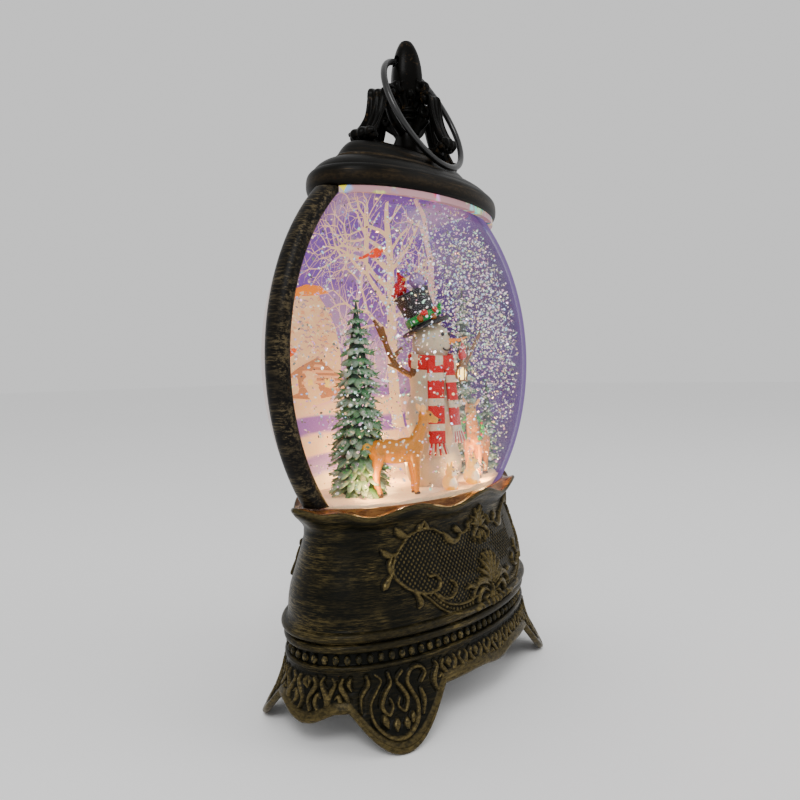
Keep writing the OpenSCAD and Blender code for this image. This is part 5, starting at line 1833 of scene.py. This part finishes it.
def glitter(material):
    """Flakes that hang in the liquid, thicker towards the upper right."""
    count = 7200
    batch_pts, batch_faces, colours = [], [], []
    inner_r, inner_half = GLOBE_R - 4.2, GLOBE_HALF - 4.2
    made = 0
    palette = np.array([[1, 1, 1], [1, 0.97, 0.92], [0.95, 0.9, 1.0], [0.4, 0.4, 0.33],
                        [0.2, 0.2, 0.17], [1.0, 0.6, 0.85],
                        [0.55, 0.75, 1.0], [0.6, 1.0, 0.75], [1.0, 0.85, 0.5]])
    a = np.linspace(0, 2 * np.pi, 6, endpoint=False)
    hexagon = np.stack([np.cos(a), np.sin(a), 0 * a], -1)
    while made < count:
        p = rng.uniform(-1, 1, 3)
        if p @ p > 1:
            continue
        at = np.array([p[0] * inner_r, p[1] * inner_half, GLOBE_Z + p[2] * inner_r])
        if at[2] < GROUND_Z + 2.5:
            continue
        right = ease((at[0] + 30) / 90)
        high = ease((at[2] - 105) / 80)
        # more of them near the front wall and to the upper right
        front = 0.45 + 0.55 * ease((0.6 - p[1]) / 1.4)
        if rng.random() > (0.2 + 0.8 * right ** 1.3 * (0.25 + 0.75 * high)) * front:
            continue
        size = rng.uniform(0.36, 0.74)
        q = rng.normal(size=4)
        q /= np.linalg.norm(q)
        turn = np.array(Quaternion(q).to_matrix())
        flake = hexagon * size * (1, rng.uniform(0.6, 1.0), 1) @ turn.T + at
        normal = turn[:, 2] * 0.05
        k = made * 12
        batch_pts.append(np.vstack([flake + normal, flake - normal]))
        batch_faces += [tuple(range(k, k + 6)), tuple(range(k + 11, k + 5, -1))]
        batch_faces += [(k + i, k + 6 + i, k + 6 + (i + 1) % 6, k + (i + 1) % 6) for i in range(6)]
        colours.append(np.tile(palette[rng.integers(len(palette))], (12, 1)))
        made += 1
    make_piece("glitter", np.vstack(batch_pts), batch_faces, material, slot="liquid",
               replaces=("liquid_fill",),
               smooth=False, attributes={"paint": np.vstack(colours)})


def glitter_foil():
    """Foil that is mirror-bright one way and glows with broken colour another."""
    m = Nodes("glitter_foil")
    paint = m.attribute("paint", "Color")
    shade = m.ramp(m.noise((0.8, 0.8, 0.8), detail=1.0), 0.3, 0.7, 0.6, 1.0)
    mixed = m.new("ShaderNodeHueSaturation", Saturation=1.1)
    m.link(paint, mixed.inputs["Color"])
    m.link(shade, mixed.inputs["Value"])
    m.link(mixed.outputs["Color"], m.shader.inputs["Base Color"])
    m.link(mixed.outputs["Color"], m.shader.inputs["Emission Color"])
    m.set(Metallic=0.75, Roughness=0.25, Emission_Strength=0.6)
    return m.material


glitter(glitter_foil())

# ------------------------------------------------------------------ CAD parts that keep their shape

floor_black = plain("floor_black", (0.022, 0.022, 0.023), rough=0.5)
# CAD node, name of its material, colour, roughness, metal, glow
CAD_LOOKS = (
    ("floor_screws", "screw_steel", (0.55, 0.55, 0.56), 0.3, 1.0, 0.0),
    ("inner_deck", "inner_grey", (0.05, 0.05, 0.052), 0.55, 0.0, 0.0),
    ("battery_box", "box_grey", (0.035, 0.035, 0.037), 0.55, 0.0, 0.0),
    ("battery_cells", "cell_wrap", (0.5, 0.3, 0.06), 0.3, 0.0, 0.0),
    ("battery_contacts", "contact_steel", (0.6, 0.6, 0.6), 0.28, 1.0, 0.0),
    ("switch_body", "switch_grey", (0.05, 0.05, 0.052), 0.5, 0.0, 0.0),
    ("switch_knob", "knob_black", (0.012, 0.012, 0.012), 0.42, 0.0, 0.0),
    ("light_board", "board_green", (0.02, 0.12, 0.045), 0.4, 0.0, 0.0),
    ("leds", "led_lens", (1.0, 0.8, 0.45), 0.2, 0.0, 6.0),
    ("drive_motor", "motor_can", (0.5, 0.5, 0.5), 0.3, 0.9, 0.0),
    ("motor_bracket", "bracket_steel", (0.35, 0.35, 0.36), 0.35, 0.9, 0.0),
    ("motor_screws", "motor_screw", (0.55, 0.55, 0.56), 0.3, 1.0, 0.0),
    ("drive_shaft", "shaft_steel", (0.6, 0.6, 0.6), 0.22, 1.0, 0.0),
    ("drive_rotor", "rotor_white", (0.75, 0.75, 0.73), 0.4, 0.0, 0.0),
    ("drive_magnets", "magnet_grey", (0.3, 0.3, 0.31), 0.28, 1.0, 0.0),
    ("globe_stopper", "stopper_clear", (0.86, 0.86, 0.86), 0.2, 0.0, 0.0),
    ("stopper_gasket", "gasket_pale", (0.72, 0.7, 0.7), 0.5, 0.0, 0.0),
    ("fill_plug", "plug_rubber", (0.4, 0.4, 0.4), 0.65, 0.0, 0.0),
    ("impeller", "impeller_white", (0.86, 0.86, 0.84), 0.35, 0.0, 0.0),
    ("impeller_magnet", "impeller_magnet", (0.3, 0.3, 0.31), 0.28, 1.0, 0.0),
    ("impeller_pin", "pin_steel", (0.6, 0.6, 0.6), 0.22, 1.0, 0.0),
)
CAD_FINISH = {"base_floor": floor_black, "battery_door": floor_black}
for node, name, colour, rough, metallic, emission in CAD_LOOKS:
    CAD_FINISH[node] = plain(name, colour, rough, metallic, emission=emission)


def strip_glow():
    """Pale strip under the cap, which picks up coloured glints from the glitter."""
    m = Nodes("strip_glow")
    cells = m.new("ShaderNodeTexVoronoi", Scale=1.0)
    m.link(m.place((0.3, 0.3, 0.3)), cells.inputs["Vector"])
    hue = m.new("ShaderNodeHueSaturation", Saturation=1.1, Value=1.0)
    m.link(cells.outputs["Color"], hue.inputs["Color"])
    share = m.ramp(m.noise((0.11, 0.11, 0.11), detail=2.0), 0.5, 0.66)
    colour = m.mix(share, (0.4, 0.2, 0.22), hue.outputs["Color"])
    m.link(colour, m.shader.inputs["Base Color"])
    m.link(colour, m.shader.inputs["Emission Color"])
    m.set(Emission_Strength=0.25, Roughness=0.25)
    return m.material


CAD_FINISH["cap_gasket"] = strip_glow()
for node, material in CAD_FINISH.items():
    for slot in frame["nodes"][node].material_slots:
        slot.material = material

# ------------------------------------------------------------------ stage and lights


def stage_floor():
    mesh = bpy.data.meshes.new("stage_floor")
    mesh.from_pydata([(-6, -6, 0), (6, -6, 0), (6, 6, 0), (-6, 6, 0)], [], [(0, 1, 2, 3)])
    m = Nodes("stage_white")
    m.link(m.mix(m.noise((0.002, 0.002, 0.002)), (0.93, 0.93, 0.93), (0.95, 0.95, 0.95)),
           m.shader.inputs["Base Color"])
    m.set(Roughness=0.9)
    mesh.materials.append(m.material)
    floor = bpy.data.objects.new("stage_floor", mesh)
    bpy.context.scene.collection.objects.link(floor)


GLOW_COLOUR = (1.0, 0.6, 0.22)
GLOW_RADIUS = 0.003


def area(name, at, target, size, power):
    light = bpy.data.lights.new(name, "AREA")
    light.energy = power
    light.size = size
    obj = bpy.data.objects.new(name, light)
    obj.location = at
    obj.rotation_euler = (Vector(target) - Vector(at)).to_track_quat("-Z", "Y").to_euler()
    bpy.context.scene.collection.objects.link(obj)


def glow(name, at_mm, power):
    light = bpy.data.lights.new(name, "POINT")
    light.energy = power
    light.color = GLOW_COLOUR
    light.shadow_soft_size = GLOW_RADIUS
    obj = bpy.data.objects.new(name, light)
    obj.location = Vector(at_mm) * MM
    bpy.context.scene.collection.objects.link(obj)


stage_floor()
world = bpy.data.worlds.new("studio")
world.use_nodes = True
world.node_tree.nodes["Background"].inputs["Color"].default_value = (1, 1, 1, 1)
world.node_tree.nodes["Background"].inputs["Strength"].default_value = 0.85
bpy.context.scene.world = world
area("key", (-0.9, -0.5, 1.1), (0, 0, 0.08), 0.5, 9)
area("fill", (0.5, -1.2, 0.9), (0, 0, 0.12), 0.9, 4)
glow("glow_front", (-5, -24, 97), 0.05)
glow("glow_left", (-44, -8, 96), 0.02)
glow("glow_right", (21, -24, 96), 0.05)
glow("glow_rear", (0, 18, 100), 0.1)
